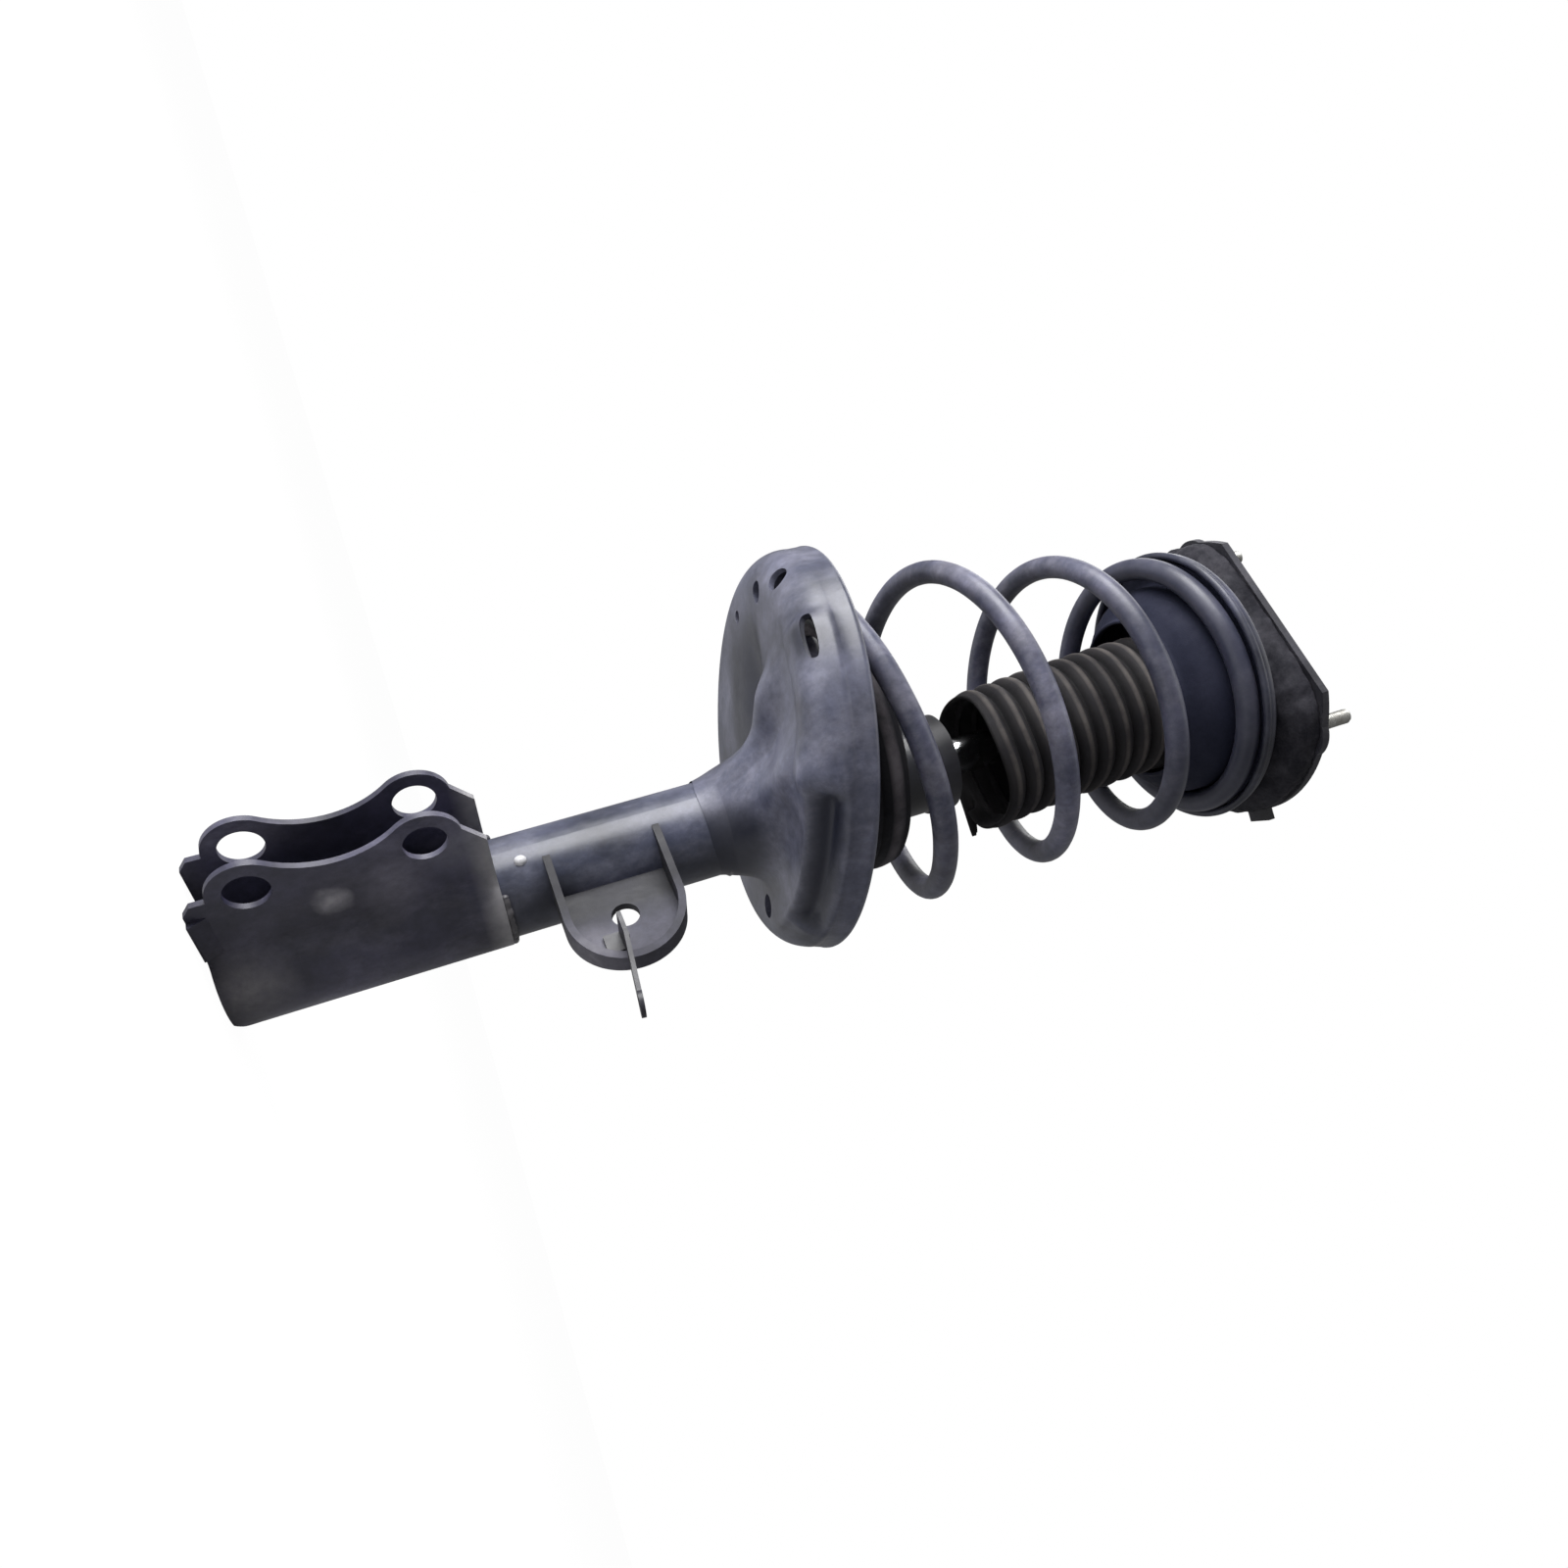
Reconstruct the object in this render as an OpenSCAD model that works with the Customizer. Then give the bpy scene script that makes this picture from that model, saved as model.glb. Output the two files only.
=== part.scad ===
// Front suspension strut: twin-tube damper, side-load coil spring, dust boot and top mount.
// Millimetres. +Z runs up the strut's axis to the body tower, +X points outboard to the knuckle.
// The origin is the centre of the face that seats in the tower. Pieces of the damper tube are
// drawn at their height over the tube's lower end, and on_tube() puts them in place.

/* [Overall] */
// From the tube's lower end to the tower face, fully extended
strut_h = 537; // [532:1:545]
// How far the damper closes from full extension
travel = 120; // [70:1:125]

/* [Damper tube] */
// Outside diameter of the tube
tube_od = 48; // [46:0.5:50]
// Wall of the tube
tube_wall = 2.5; // [2:0.1:3]
// Length of the tube
tube_len = 350; // [345:1:352]
// Height of the rolled closing cap below and above the tube's end
cap_lap = 10; // [6:1:14]
// Thickness of the closing cap
cap_t = 3; // [2.5:0.5:4]
// Depth of the cup that closes the lower end
base_cup_h = 9; // [7:1:12]

/* [Damper inside] */
// Diameter of the piston rod
rod_d = 20; // [18:0.5:22]
// Bore of the pressure tube
bore_d = 32; // [31:0.5:34]
// Wall of the pressure tube
bore_wall = 1.5; // [1.2:0.1:1.8]
// Height of the piston
piston_h = 20; // [16:1:24]
// Height of the rod guide
guide_h = 28; // [24:1:32]
// Height of the rod seal
seal_h = 4; // [3:0.5:5]
// Height of the rebound stop
rebound_h = 15; // [10:1:20]
// Radial clearance of everything that slides in the damper
slide_fit = 0.05; // [0.03:0.01:0.08]

/* [Knuckle bracket] */
// Sheet of the bracket
bracket_sheet = 3; // [2.5:0.5:4]
// Clear gap between the two ears
ear_gap = 23; // [20:0.5:25]
// Diameter of the two knuckle bolt holes
knuckle_hole_d = 19; // [14:0.5:20]
// From the tube's axis to the bolt holes
knuckle_reach = 58.5; // [56:0.5:64]
// Height of the lower bolt hole over the tube's end
knuckle_low = 22; // [20:1:26]
// Distance between the two bolt holes
knuckle_pitch = 72; // [66:1:76]
// Radius of the ear round a bolt hole
ear_r = 16; // [15:0.5:18]
// How far the bracket hangs below the tube's end
bracket_drop = 4; // [3:1:8]
// Height of the bracket's upper edge over the tube's end
bracket_top = 119; // [116:1:126]
// Radius of the fold between the tube's wrap and an ear
fold_r = 10; // [8:0.5:12]
// How far the lower edge of each cheek is turned out
lip_out = 3; // [2:0.5:4]

/* [Stabiliser bracket] */
// Height of the link hole over the tube's end
link_h = 169; // [160:1:180]
// From the tube's axis to the link hole
link_reach = 43; // [42:1:48]
// Diameter of the link hole
link_hole_d = 13; // [10:0.5:14]
// Radius of the round end
link_r = 28; // [25:1:31]
// Sheet of the bracket
link_sheet = 4; // [3:0.5:5]
// Offset of the sheet's back from the tube's axis
link_offset = 4; // [2:0.5:6]
// Height of the turned rim at the tip and at the tube
link_rim_tip = 5; // [3:0.5:7]
link_rim_root = 15; // [12:0.5:16]
// Length, width and sheet of the lead bracket
lead_len = 47; // [30:1:48]
lead_w = 15; // [12:1:18]
lead_sheet = 2; // [1.5:0.5:2.5]
// Diameter of the lead bracket's clip hole
lead_hole_d = 7; // [5:0.5:8]

/* [Lower spring seat] */
// Height of the pan's floor over the tube's end, measured on the tube's axis
seat_h = 255; // [248:1:258]
// Tilt of the pan
seat_tilt = 11.5; // [10:0.5:13]
// Compass direction of the high side, from outboard, and of the spring's lean
seat_az = -48; // [-60:1:-36]
// Offset of the pan's centre to the high side
seat_offset = 30; // [28:0.5:31]
// Outside radius of the pan
seat_r = 100; // [99:0.5:106]
// Depth of the pan
seat_depth = 24; // [21:1:27]
// Sheet of the pan
seat_sheet = 3; // [2.5:0.5:3.5]
// Radius of the pan's lower corner
seat_corner = 19; // [14:1:20]
// Thickness of the rubber pads under and over the spring
pad_t = 3; // [2.5:0.5:3.5]
// Outside radius of the lower pad's ribbed sleeve, and its top over the pan's floor on the axis
sleeve_r = 68.5; // [64:0.5:69]
sleeve_rise = 56; // [40:1:60]
// Ribs on the sleeve
sleeve_ribs = 5; // [3:1:6]

/* [Spring] */
// Wire diameter
wire_d = 12; // [11:0.25:12.5]
// Mean coil radius where the wire leaves the pan, and where it meets the upper seat
coil_r_low = 86; // [84:0.5:86.5]
coil_r_top = 65.5; // [63:0.5:66]
// Offset of the coil's centre at the same two places
coil_off_low = 24.5; // [23:0.5:26]
coil_off_top = 3; // [2:0.5:4]
// How much the radius of the turn on the pan shrinks to the wire's end
coil_draw_in = 10; // [8:1:14]
// Turns that lie on the pan, stand free and lie in the upper seat
turns_low = 0.85; // [0.7:0.05:0.85]
turns_free = 3.32; // [3.2:0.02:3.4]
turns_top = 0.5; // [0.4:0.02:0.6]
// How much of the climb comes early, and how much steeper it is in the middle
climb_early = 0.34; // [0.2:0.02:0.38]
climb_mid = 0.16; // [0.1:0.02:0.25]
// Lean of the free turns, as the tangent of their tilt
coil_lean = 0.05; // [0:0.01:0.07]
// How much steeper the first free half turn rises
coil_kick = 7; // [0:0.5:9]

/* [Boot and bump stop] */
// Outside diameter over the ribs
boot_od = 75; // [72:0.5:77]
// Depth of a rib
boot_rib = 4.5; // [3.5:0.5:5]
// Number of ribs
boot_ribs = 11; // [8:1:13]
// Length of the boot
boot_len = 136; // [125:1:138]
// How far the open end hangs out of line
boot_droop = 6; // [0:0.5:6]
// Wall of the boot
boot_wall = 1.4; // [1.2:0.1:1.8]
// Outside diameter of the bump stop
bump_d = 46; // [42:1:48]
// How far the bump stop is squeezed when the damper is fully closed
bump_squash = 28.5; // [20:0.5:32]

/* [Upper seat and bearing] */
// Outside radius of the upper seat
upper_r = 75; // [75:0.5:77]
// Offset of the upper seat's dish to the spring's side
upper_off = 3; // [2:0.5:4]
// Depth of the upper seat's skirt
upper_skirt = 7; // [6.5:0.5:10]
// Sheet of the upper seat
upper_sheet = 2.5; // [2:0.5:3]
// Radius of the upper seat's shoulder
upper_corner = 5; // [4:0.5:6]
// Height of the upper pad's bell under the seat
bell_h = 44; // [36:1:48]
// Number and diameter of the bearing balls, and the radius they run on
ball_n = 20; // [16:1:22]
ball_d = 5; // [4.5:0.25:5.25]
ball_ring_r = 38; // [36:0.5:40]
// Clearance of a ball in each race
ball_fit = 0.15; // [0.1:0.05:0.2]

/* [Top mount] */
// Radius of the round part of the mount plate
mount_r = 78; // [76:0.5:80]
// From the axis to the flat between the first stud and the third
mount_flat = 60; // [58:0.5:66]
// Thickness of the mount plate
mount_plate_t = 4; // [3:0.5:5]
// Radius of the round opening in the plate
mount_open_r = 24; // [22:0.5:27]
// Height of the rubber body, from the cup's underside to the plate
mount_body_h = 18; // [17:0.5:19]
// Clear height between the upper seat and the mount's underside
bearing_gap = 5; // [4.5:0.25:6]
// Diameter of the circle the studs stand on
stud_pcd = 128; // [122:1:130]
// Stud diameter and its height over the plate
stud_d = 8; // [8:1:10]
stud_h = 27; // [18:1:30]
// Radius of the plate's lobe round each stud
stud_lobe_r = 16; // [15:0.5:18]
// Compass direction of the first stud, from outboard
stud_az = 77; // [65:1:85]
// Diameter of the thread at the rod's top, and how far it stands over the face
rod_thread_d = 14; // [12:1:16]
rod_stand = 3; // [0:1:6]

/* [Hidden] */
$fn = 72;
tiny = 0.01;
over = 1;
part_gap = 0.3;
tube_r = tube_od / 2;
tube_in_r = tube_r - tube_wall;
rod_r = rod_d / 2;
bore_r = bore_d / 2;

// Stack of the damper's inside, as heights over the tube's lower end
base_valve_h = 16;
guide_top = tube_len - seal_h;
guide_low = guide_top - guide_h;
guide_spigot = 6;
stop_top = guide_low - part_gap;
piston_top = stop_top - rebound_h - 2;
piston_low = piston_top - piston_h;
shim_t = 1.5;
piston_nut_h = 10;
spigot_r = 6;
rod_low = piston_low - shim_t - piston_nut_h - 2;

// Stack of the top, as heights under the tower face
rubber_top = -mount_plate_t;
rubber_low = rubber_top - mount_body_h;
seat_top = rubber_low - bearing_gap;
seat_under = seat_top - upper_sheet;
spring_top_z = seat_under - pad_t - wire_d / 2;
washer_t = 3;
sleeve_h = 8;
rod_shoulder = rubber_low;
washer_low = rod_shoulder + sleeve_h;
nut_h = 10;
nut_flats = 22;
nut_low = washer_low + washer_t;
boot_top = seat_under;
bump_top = seat_under - 3;
cap_crown = 2;
bump_len = strut_h + bump_top - (tube_len + cap_t + cap_crown) - travel + bump_squash;

// The strut bearing, the steel cup over it and the mount's steel core
race_out_r = ball_ring_r + 7;
race_in_r = ball_ring_r - 7;
cup_t = 2;
cup_h = 6;
cup_flange_r = mount_r - 16;
ball_z = (seat_top + rubber_low + cup_h - cup_t) / 2;
race_clear = 1.1;
core_r = rod_thread_d / 2 + 7;

// The ears
ear_in = ear_gap / 2;
ear_out = ear_in + bracket_sheet;
wrap_r = tube_r + bracket_sheet;
fold_y = ear_out + fold_r;
fold_x = sqrt(pow(wrap_r + fold_r, 2) - pow(fold_y, 2));
knuckle_up = knuckle_low + knuckle_pitch;
link_wall = 3.5;

// The pan and the spring's lower turn: each hole has its angle, its distance from the pan's
// outside and its diameter
neck_low = 26;
pan_holes = [[44, 10, 9], [20, 21, 9], [-11, 27, 7], [180, 22, 12]];
pad_fit = part_gap;
wire_lift = (pad_t + pad_fit + wire_d / 2) / cos(seat_tilt);
tilt_rise = tan(seat_tilt);
coil_steps = 24;
wire_sides = 6;
blend_turns = 0.2;
coil_start_lift = 4;

module on_tube() {
    translate([0, 0, -strut_h])
        children();
}

// Ring between two radii and two heights
module ring(r_out, r_in, z0, z1) {
    translate([0, 0, z0])
        difference() {
            cylinder(r = r_out, h = z1 - z0);
            translate([0, 0, -over])
                cylinder(r = r_in, h = z1 - z0 + 2 * over);
        }
}

// Points of an arc, for outlines
function arc(c, r, a0, a1, n = 8) =
    [for (i = [0:n]) let (a = a0 + (a1 - a0) * i / n) [c[0] + r * cos(a), c[1] + r * sin(a)]];

// ---- Damper tube and what is inside it ----

module strut_tube() {
    color([0.13, 0.13, 0.16])
        on_tube()
            ring(tube_r, tube_in_r, 0, tube_len);
}

module base_cup() {
    color([0.13, 0.13, 0.16])
        on_tube()
            difference() {
                cylinder(r = tube_in_r, h = base_cup_h);
                translate([0, 0, base_cup_h - 4])
                    cylinder(r = tube_in_r - tube_wall, h = 4 + over);
                translate([0, 0, -tiny])
                    cylinder(r1 = 12, r2 = 8, h = 2);
            }
}

module gland_cap() {
    color([0.1, 0.1, 0.11])
        on_tube() {
            ring(tube_r + 1.2, tube_r, tube_len - cap_lap, tube_len);
            ring(tube_r + 1.2, rod_r + 1, tube_len, tube_len + cap_t);
            ring(rod_r + 3.5, rod_r + 1, tube_len + cap_t, tube_len + cap_t + cap_crown);
        }
}

module pressure_tube() {
    color([0.6, 0.61, 0.63])
        on_tube()
            ring(bore_r + bore_wall, bore_r, base_cup_h + 3, guide_low + guide_spigot - 1);
}

module base_valve() {
    color([0.55, 0.5, 0.35])
        on_tube() {
            ring(bore_r + bore_wall, 3, base_cup_h, base_cup_h + 3);
            ring(bore_r, 3, base_cup_h + 3, base_cup_h + 9);
            ring(9, 3, base_cup_h + 9, base_cup_h + 10.5);
            translate([0, 0, base_cup_h])
                cylinder(r = 3, h = base_valve_h - 2);
        }
}

module rod_guide() {
    color([0.5, 0.51, 0.52])
        on_tube() {
            bush_r = rod_r + 2;
            ring(tube_in_r, bush_r, guide_low + guide_spigot, guide_top);
            ring(bore_r, bush_r, guide_low, guide_low + guide_spigot);
        }
}

module guide_bush() {
    color([0.55, 0.4, 0.2])
        on_tube()
            ring(rod_r + 2, rod_r + slide_fit, guide_low + 3, guide_top - 3);
}

module rod_seal() {
    color([0.06, 0.06, 0.06])
        on_tube() {
            ring(tube_in_r, rod_r + slide_fit, guide_top, tube_len);
        }
}

// ---- The rod and what moves on it ----

module piston_rod() {
    color([0.85, 0.86, 0.88]) {
        z_spigot = piston_top + shim_t - strut_h;
        translate([0, 0, rod_low - strut_h])
            cylinder(r = spigot_r, h = z_spigot - rod_low + strut_h);
        translate([0, 0, z_spigot])
            cylinder(r = rod_r, h = rod_shoulder - z_spigot);
        translate([0, 0, rod_shoulder])
            cylinder(r = rod_thread_d / 2, h = rod_stand - rod_shoulder - 1);
        translate([0, 0, rod_stand - 1])
            cylinder(r1 = rod_thread_d / 2, r2 = rod_thread_d / 2 - 1, h = 1);
    }
}

module piston() {
    color([0.45, 0.45, 0.47])
        on_tube()
            difference() {
                ring(bore_r - 0.5, spigot_r, piston_low, piston_top);
                ring(bore_r + over, bore_r - 1.5, piston_low + 4, piston_top - 4);
                for (a = [0:60:300])
                    rotate([0, 0, a])
                        translate([spigot_r + 4, 0, piston_low - over])
                            cylinder(r = 1.5, h = piston_h + 2 * over, $fn = 24);
            }
}

module piston_band() {
    color([0.2, 0.25, 0.3])
        on_tube()
            ring(bore_r - slide_fit, bore_r - 1.5, piston_low + 4, piston_top - 4);
}

module valve_shims() {
    color([0.7, 0.7, 0.72])
        on_tube() {
            ring(bore_r - 4, spigot_r, piston_low - shim_t, piston_low);
            ring(bore_r - 5, spigot_r, piston_top, piston_top + shim_t);
        }
}

module piston_nut() {
    color([0.5, 0.5, 0.52])
        on_tube()
            difference() {
                translate([0, 0, piston_low - shim_t - piston_nut_h])
                    cylinder(r = 9.5, h = piston_nut_h, $fn = 6);
                translate([0, 0, rod_low - over])
                    cylinder(r = spigot_r, h = piston_nut_h + 2 * over + 4);
            }
}

module rebound_stop() {
    color([0.35, 0.33, 0.2])
        on_tube() {
            ring(bore_r - 1, rod_r, piston_top + shim_t + 0.5, piston_top + shim_t + 4);
            ring(bore_r - 2, rod_r, piston_top + shim_t + 4, stop_top);
        }
}

// ---- Knuckle bracket ----

// Half of the folded section, on the +Y side: wrap, fold and ear
module bracket_half_section(reach) {
    turn = atan2(fold_y, fold_x);
    lap = 1.5;
    difference() {
        circle(r = wrap_r);
        circle(r = tube_r);
        translate([-2 * wrap_r, -2 * wrap_r])
            square([4 * wrap_r, 2 * wrap_r - lap]);
        polygon([[0, 0], 3 * wrap_r * [cos(turn - lap), sin(turn - lap)], [3 * wrap_r, -lap],
            [0, -lap]]);
    }
    // The sheet turns about the fold's centre, from the wrap to the ear
    intersection() {
        difference() {
            translate([fold_x, fold_y])
                circle(r = fold_r + bracket_sheet);
            translate([fold_x, fold_y])
                circle(r = fold_r);
        }
        polygon([[fold_x + 0.3, fold_y], [0, 0], [fold_x + 0.3, 0]]);
    }
    translate([fold_x, ear_in])
        square([reach - fold_x, bracket_sheet]);
}

// Outline of an ear seen along Y: X outboard, height over the tube's end
module ear_outline() {
    low = [knuckle_reach, knuckle_low];
    up = [knuckle_reach, knuckle_up];
    mid = (knuckle_low + knuckle_up) / 2;
    dip_r = 42;
    dip_x = knuckle_reach + sqrt(pow(ear_r + dip_r, 2) - pow(knuckle_pitch / 2, 2));
    difference() {
        union() {
            translate([-wrap_r - over, -bracket_drop])
                square([wrap_r + over + knuckle_reach - ear_r / 2, bracket_top + bracket_drop]);
            polygon([low, up, [dip_x, mid]]);
            translate(low)
                circle(r = ear_r);
            translate(up)
                circle(r = ear_r);
            translate([knuckle_reach - ear_r / 2 - over, -bracket_drop])
                square([ear_r / 2 + over, knuckle_up + bracket_drop]);
            polygon([up, up + ear_r * [sin(10), cos(10)],
                [knuckle_reach - ear_r / 2, bracket_top], [knuckle_reach - ear_r / 2 - over, knuckle_up]]);
        }
        translate([dip_x, mid])
            circle(r = dip_r);
        // The lower corner slopes in under the lower ear
        polygon([[knuckle_reach - 6, -bracket_drop - over], [knuckle_reach + ear_r, knuckle_low - 10],
            [knuckle_reach + ear_r, -bracket_drop - over]]);
        // The wrap's lower edge rises to the back
        polygon([[-6, -bracket_drop - over], [-wrap_r - 2 * over, bracket_drop + 2],
            [-wrap_r - 2 * over, -bracket_drop - over]]);
    }
}

module bracket_sheet_body() {
    reach = knuckle_reach + ear_r + 2;
    intersection() {
        translate([0, 0, -bracket_drop])
            linear_extrude(bracket_drop + bracket_top) {
                bracket_half_section(reach);
                mirror([0, 1])
                    bracket_half_section(reach);
            }
        translate([0, wrap_r + over, 0])
            rotate([90, 0, 0])
                linear_extrude(2 * (wrap_r + over))
                    ear_outline();
    }
}

// The turned-out lower edge of a cheek
module cheek_lip(side) {
    lip_h = 8;
    lip_x = knuckle_reach - 8;
    points = [[ear_out, lip_h - bracket_drop], [ear_out, -bracket_drop],
        [ear_out + lip_out, -bracket_drop], [ear_out + lip_out, 1 - bracket_drop]];
    mirror([0, side])
        translate([fold_x, 0, 0])
            rotate([90, 0, 90])
                linear_extrude(lip_x - fold_x)
                    polygon(points);
}

module knuckle_bracket() {
    color([0.12, 0.12, 0.15])
        on_tube()
            difference() {
                union() {
                    bracket_sheet_body();
                    cheek_lip(0);
                    cheek_lip(1);
                }
                for (h = [knuckle_low, knuckle_up])
                    translate([knuckle_reach, wrap_r, h])
                        rotate([90, 0, 0])
                            cylinder(d = knuckle_hole_d, h = 2 * wrap_r);
            }
}

module bracket_weld() {
    bead = 3.5;
    color([0.3, 0.3, 0.33])
        on_tube() {
            translate([0, 0, bracket_top])
                rotate([0, 0, 48])
                    rotate_extrude(angle = 264)
                        polygon([[tube_r, 0], [wrap_r - 0.5, 0], [tube_r, bead]]);
        }
}

// ---- Stabiliser link bracket ----

// D outline in the plane that faces outboard: x is the reach along Y, y the height
module link_outline(inset) {
    translate([link_reach, link_h])
        circle(r = link_r - inset);
    translate([0, link_h - link_r + inset])
        square([link_reach, 2 * (link_r - inset)]);
}

module facing_outboard(x0, depth) {
    translate([x0, 0, 0])
        rotate([90, 0, 90])
            linear_extrude(depth)
                children();
}

module link_bracket() {
    face = link_offset + link_sheet;
    tip = link_reach + link_r;
    color([0.2, 0.2, 0.24])
        on_tube()
            difference() {
                facing_outboard(link_offset, link_sheet + link_rim_root)
                    link_outline(0);
                // Pocket inside the turned rim
                facing_outboard(face, link_rim_root + over)
                    link_outline(link_wall);
                // The rim falls from the tube to the tip
                translate([0, 0, link_h - 2 * link_r])
                    linear_extrude(4 * link_r)
                        polygon([[face + link_rim_root, 0], [face + link_rim_root, tube_r * 0.5],
                            [face + link_rim_tip, tip], [face + link_rim_tip, tip + over],
                            [face + 3 * link_rim_root, tip + over], [face + 3 * link_rim_root, 0]]);
                cylinder(r = tube_r, h = tube_len);
                // Clears the side of the tube that the bracket doesn't touch
                translate([0, -over, link_h - 2 * link_r])
                    cube([link_offset + link_sheet + link_rim_root + over, 8 + over, 4 * link_r]);
                translate([0, link_reach, link_h])
                    rotate([0, 90, 0])
                        cylinder(d = link_hole_d, h = 3 * link_rim_root);
            }
}

module lead_bracket() {
    face = link_offset + link_sheet;
    start = link_reach + link_hole_d / 2 + 3;
    arm_w = lead_w - link_rim_tip;
    arm_x = face + link_rim_tip + 1 + arm_w / 2;
    tip = link_reach + link_r;
    side_h = link_h - 6;
    foot_low = side_h - lead_w / 2;
    bend = 7;
    // How far out the dish is open at a height
    dish_r = link_r - link_wall - 0.5;
    function dish_end(h) = link_reach + sqrt(pow(dish_r, 2) - pow(link_h - h, 2));
    color([0.1, 0.1, 0.12])
        on_tube()
            difference() {
                union() {
                    // Foot spot-welded in the link bracket's dish, and the flange that stands on it
                    translate([face, start, foot_low])
                        cube([lead_sheet, dish_end(foot_low) - start, side_h - foot_low + lead_sheet]);
                    translate([face, start, side_h])
                        cube([lead_w + 1, dish_end(side_h) - start, lead_sheet]);
                    // Tongue that reaches past the tip
                    translate([0, tip - 7, side_h])
                        rotate([-bend, 0, 0]) {
                            translate([arm_x - arm_w / 2, 0, 0])
                                cube([arm_w, lead_len - 12, lead_sheet]);
                            translate([arm_x, lead_len - 12, 0])
                                cylinder(r = arm_w / 2 + 1, h = lead_sheet);
                        }
                }
                translate([0, tip - 7, side_h])
                    rotate([-bend, 0, 0])
                        translate([arm_x, lead_len - 12, -over])
                            cylinder(d = lead_hole_d, h = lead_sheet + 2 * over);
            }
}

// ---- Lower spring seat ----

// Children lie on the pan's floor: +X to the high side, origin at the pan's centre
module on_pan() {
    on_tube()
        rotate([0, 0, seat_az])
            translate([0, 0, seat_h])
                rotate([0, -seat_tilt, 0])
                    translate([seat_offset / cos(seat_tilt), 0, 0])
                        children();
}

module pan_section() {
    r_in = seat_corner - seat_sheet;
    outer = arc([seat_r - seat_corner, seat_corner - seat_sheet], seat_corner, -90, 0);
    inner = arc([seat_r - seat_corner, seat_corner - seat_sheet], r_in, 0, -90);
    polygon(concat([[0, -seat_sheet]], outer, [[seat_r, seat_depth], [seat_r - seat_sheet, seat_depth]],
        inner, [[0, 0]]));
    // Rolled edge
    translate([seat_r - seat_sheet / 2, seat_depth])
        circle(r = seat_sheet, $fn = 24);
}

module lower_spring_seat() {
    hub_r = tube_r + 20;
    ridge_r = 7;
    color([0.2, 0.2, 0.24])
        difference() {
            union() {
                on_pan()
                    rotate_extrude()
                        pan_section();
                // Neck drawn out to the tube and two ridges from it to the corner, up into the sheet
                difference() {
                    union() {
                        on_tube()
                            translate([0, 0, seat_h - neck_low])
                                cylinder(r1 = tube_r + seat_sheet, r2 = hub_r, h = neck_low - 2);
                        on_pan()
                            translate([-seat_offset, 0, -seat_sheet])
                                for (ridge = [[10, seat_r], [78, seat_r - 28]])
                                    rotate([0, 0, ridge[0]]) {
                                        rotate([0, 90, 0])
                                            cylinder(r1 = 2 * ridge_r, r2 = ridge_r, h = ridge[1]);
                                        translate([ridge[1], 0, 0])
                                            sphere(r = ridge_r);
                                    }
                    }
                    on_pan()
                        translate([0, 0, -seat_sheet / 2])
                            cylinder(r = 2 * seat_r, h = 2 * seat_depth);
                }
            }
            // The tube passes through
            on_tube()
                cylinder(r = tube_r, h = tube_len);
            // Locating holes, drain, and the slot through the corner
            on_pan() {
                for (h = pan_holes)
                    rotate([0, 0, h[0]])
                        translate([seat_r - h[1], 0, -20])
                            cylinder(d = h[2], h = 40);
                rotate([0, 0, 75])
                    translate([seat_r - 12, -14, -seat_sheet - over])
                        cube([7, 28, 14]);
            }
        }
}

module seat_weld() {
    bead = 3.5;
    color([0.3, 0.3, 0.33])
        on_tube()
            translate([0, 0, seat_h - neck_low])
                rotate_extrude()
                    polygon([[tube_r, 0], [tube_r + 2.8, 0], [tube_r, -bead]]);
}

// Closed outline of a wall with round ribs on its outside, from a height of 0 to h
function ribbed_wall(r, wall, deep, h, n) = concat([[r - deep - wall, 0]],
    [for (i = [0:8 * n]) [r - deep * (1 - abs(sin(180 * i / 8))), h * i / (8 * n)]],
    [[r - deep - wall, h]]);

module lower_spring_pad() {
    sleeve_wall = 3;
    sleeve_low = 20;
    color([0.05, 0.05, 0.05]) {
        // Sleeve inside the coil, cut off by the pan's floor
        difference() {
            on_tube()
                rotate([0, 0, seat_az])
                    translate([coil_off_low, 0, seat_h - sleeve_low])
                        rotate_extrude()
                            polygon(ribbed_wall(sleeve_r, sleeve_wall, 2, sleeve_rise + sleeve_low,
                                sleeve_ribs));
            on_pan()
                translate([0, 0, -4 * seat_depth])
                    cylinder(r = 2 * seat_r, h = 4 * seat_depth + part_gap / 10);
        }
        on_pan()
            difference() {
                ring(seat_r - seat_corner, sleeve_r - sleeve_wall - 4.5, 0, pad_t);
                for (h = pan_holes)
                    rotate([0, 0, h[0]])
                        translate([seat_r - h[1], 0, -over])
                            cylinder(d = h[2] + 1, h = pad_t + 2 * over);
            }
    }
}

// ---- Spring ----

// Smooth step from 0 to 1
function ease(x) = let (t = min(1, max(0, x))) t * t * (3 - 2 * t);

// The wire's centre after a number of turns, where 0 is the end of the turn that lies on the pan.
// X is towards the pan's high side and the height is over the tube's lower end.
low_free = seat_h + wire_lift + tilt_rise * (coil_off_low + coil_r_low)
    - coil_lean * (coil_off_low + coil_r_low) + coil_start_lift;
free_h = strut_h + spring_top_z - low_free;
function share(t) = min(1, max(0, t / turns_free));
function coil_r(t) = coil_r_low + (coil_r_top - coil_r_low) * share(t)
    - coil_draw_in * max(0, -t) / turns_low;
function coil_off(t) = coil_off_low + (coil_off_top - coil_off_low) * share(t);
function climb(t) =
    let (k = min(1, max(-0.1, t / turns_free)))
    low_free + free_h * (k + k * (1 - k) * (climb_early - climb_mid * (1 - 2 * k)))
    + coil_lean * coil_x(t) + kick(t);
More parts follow.
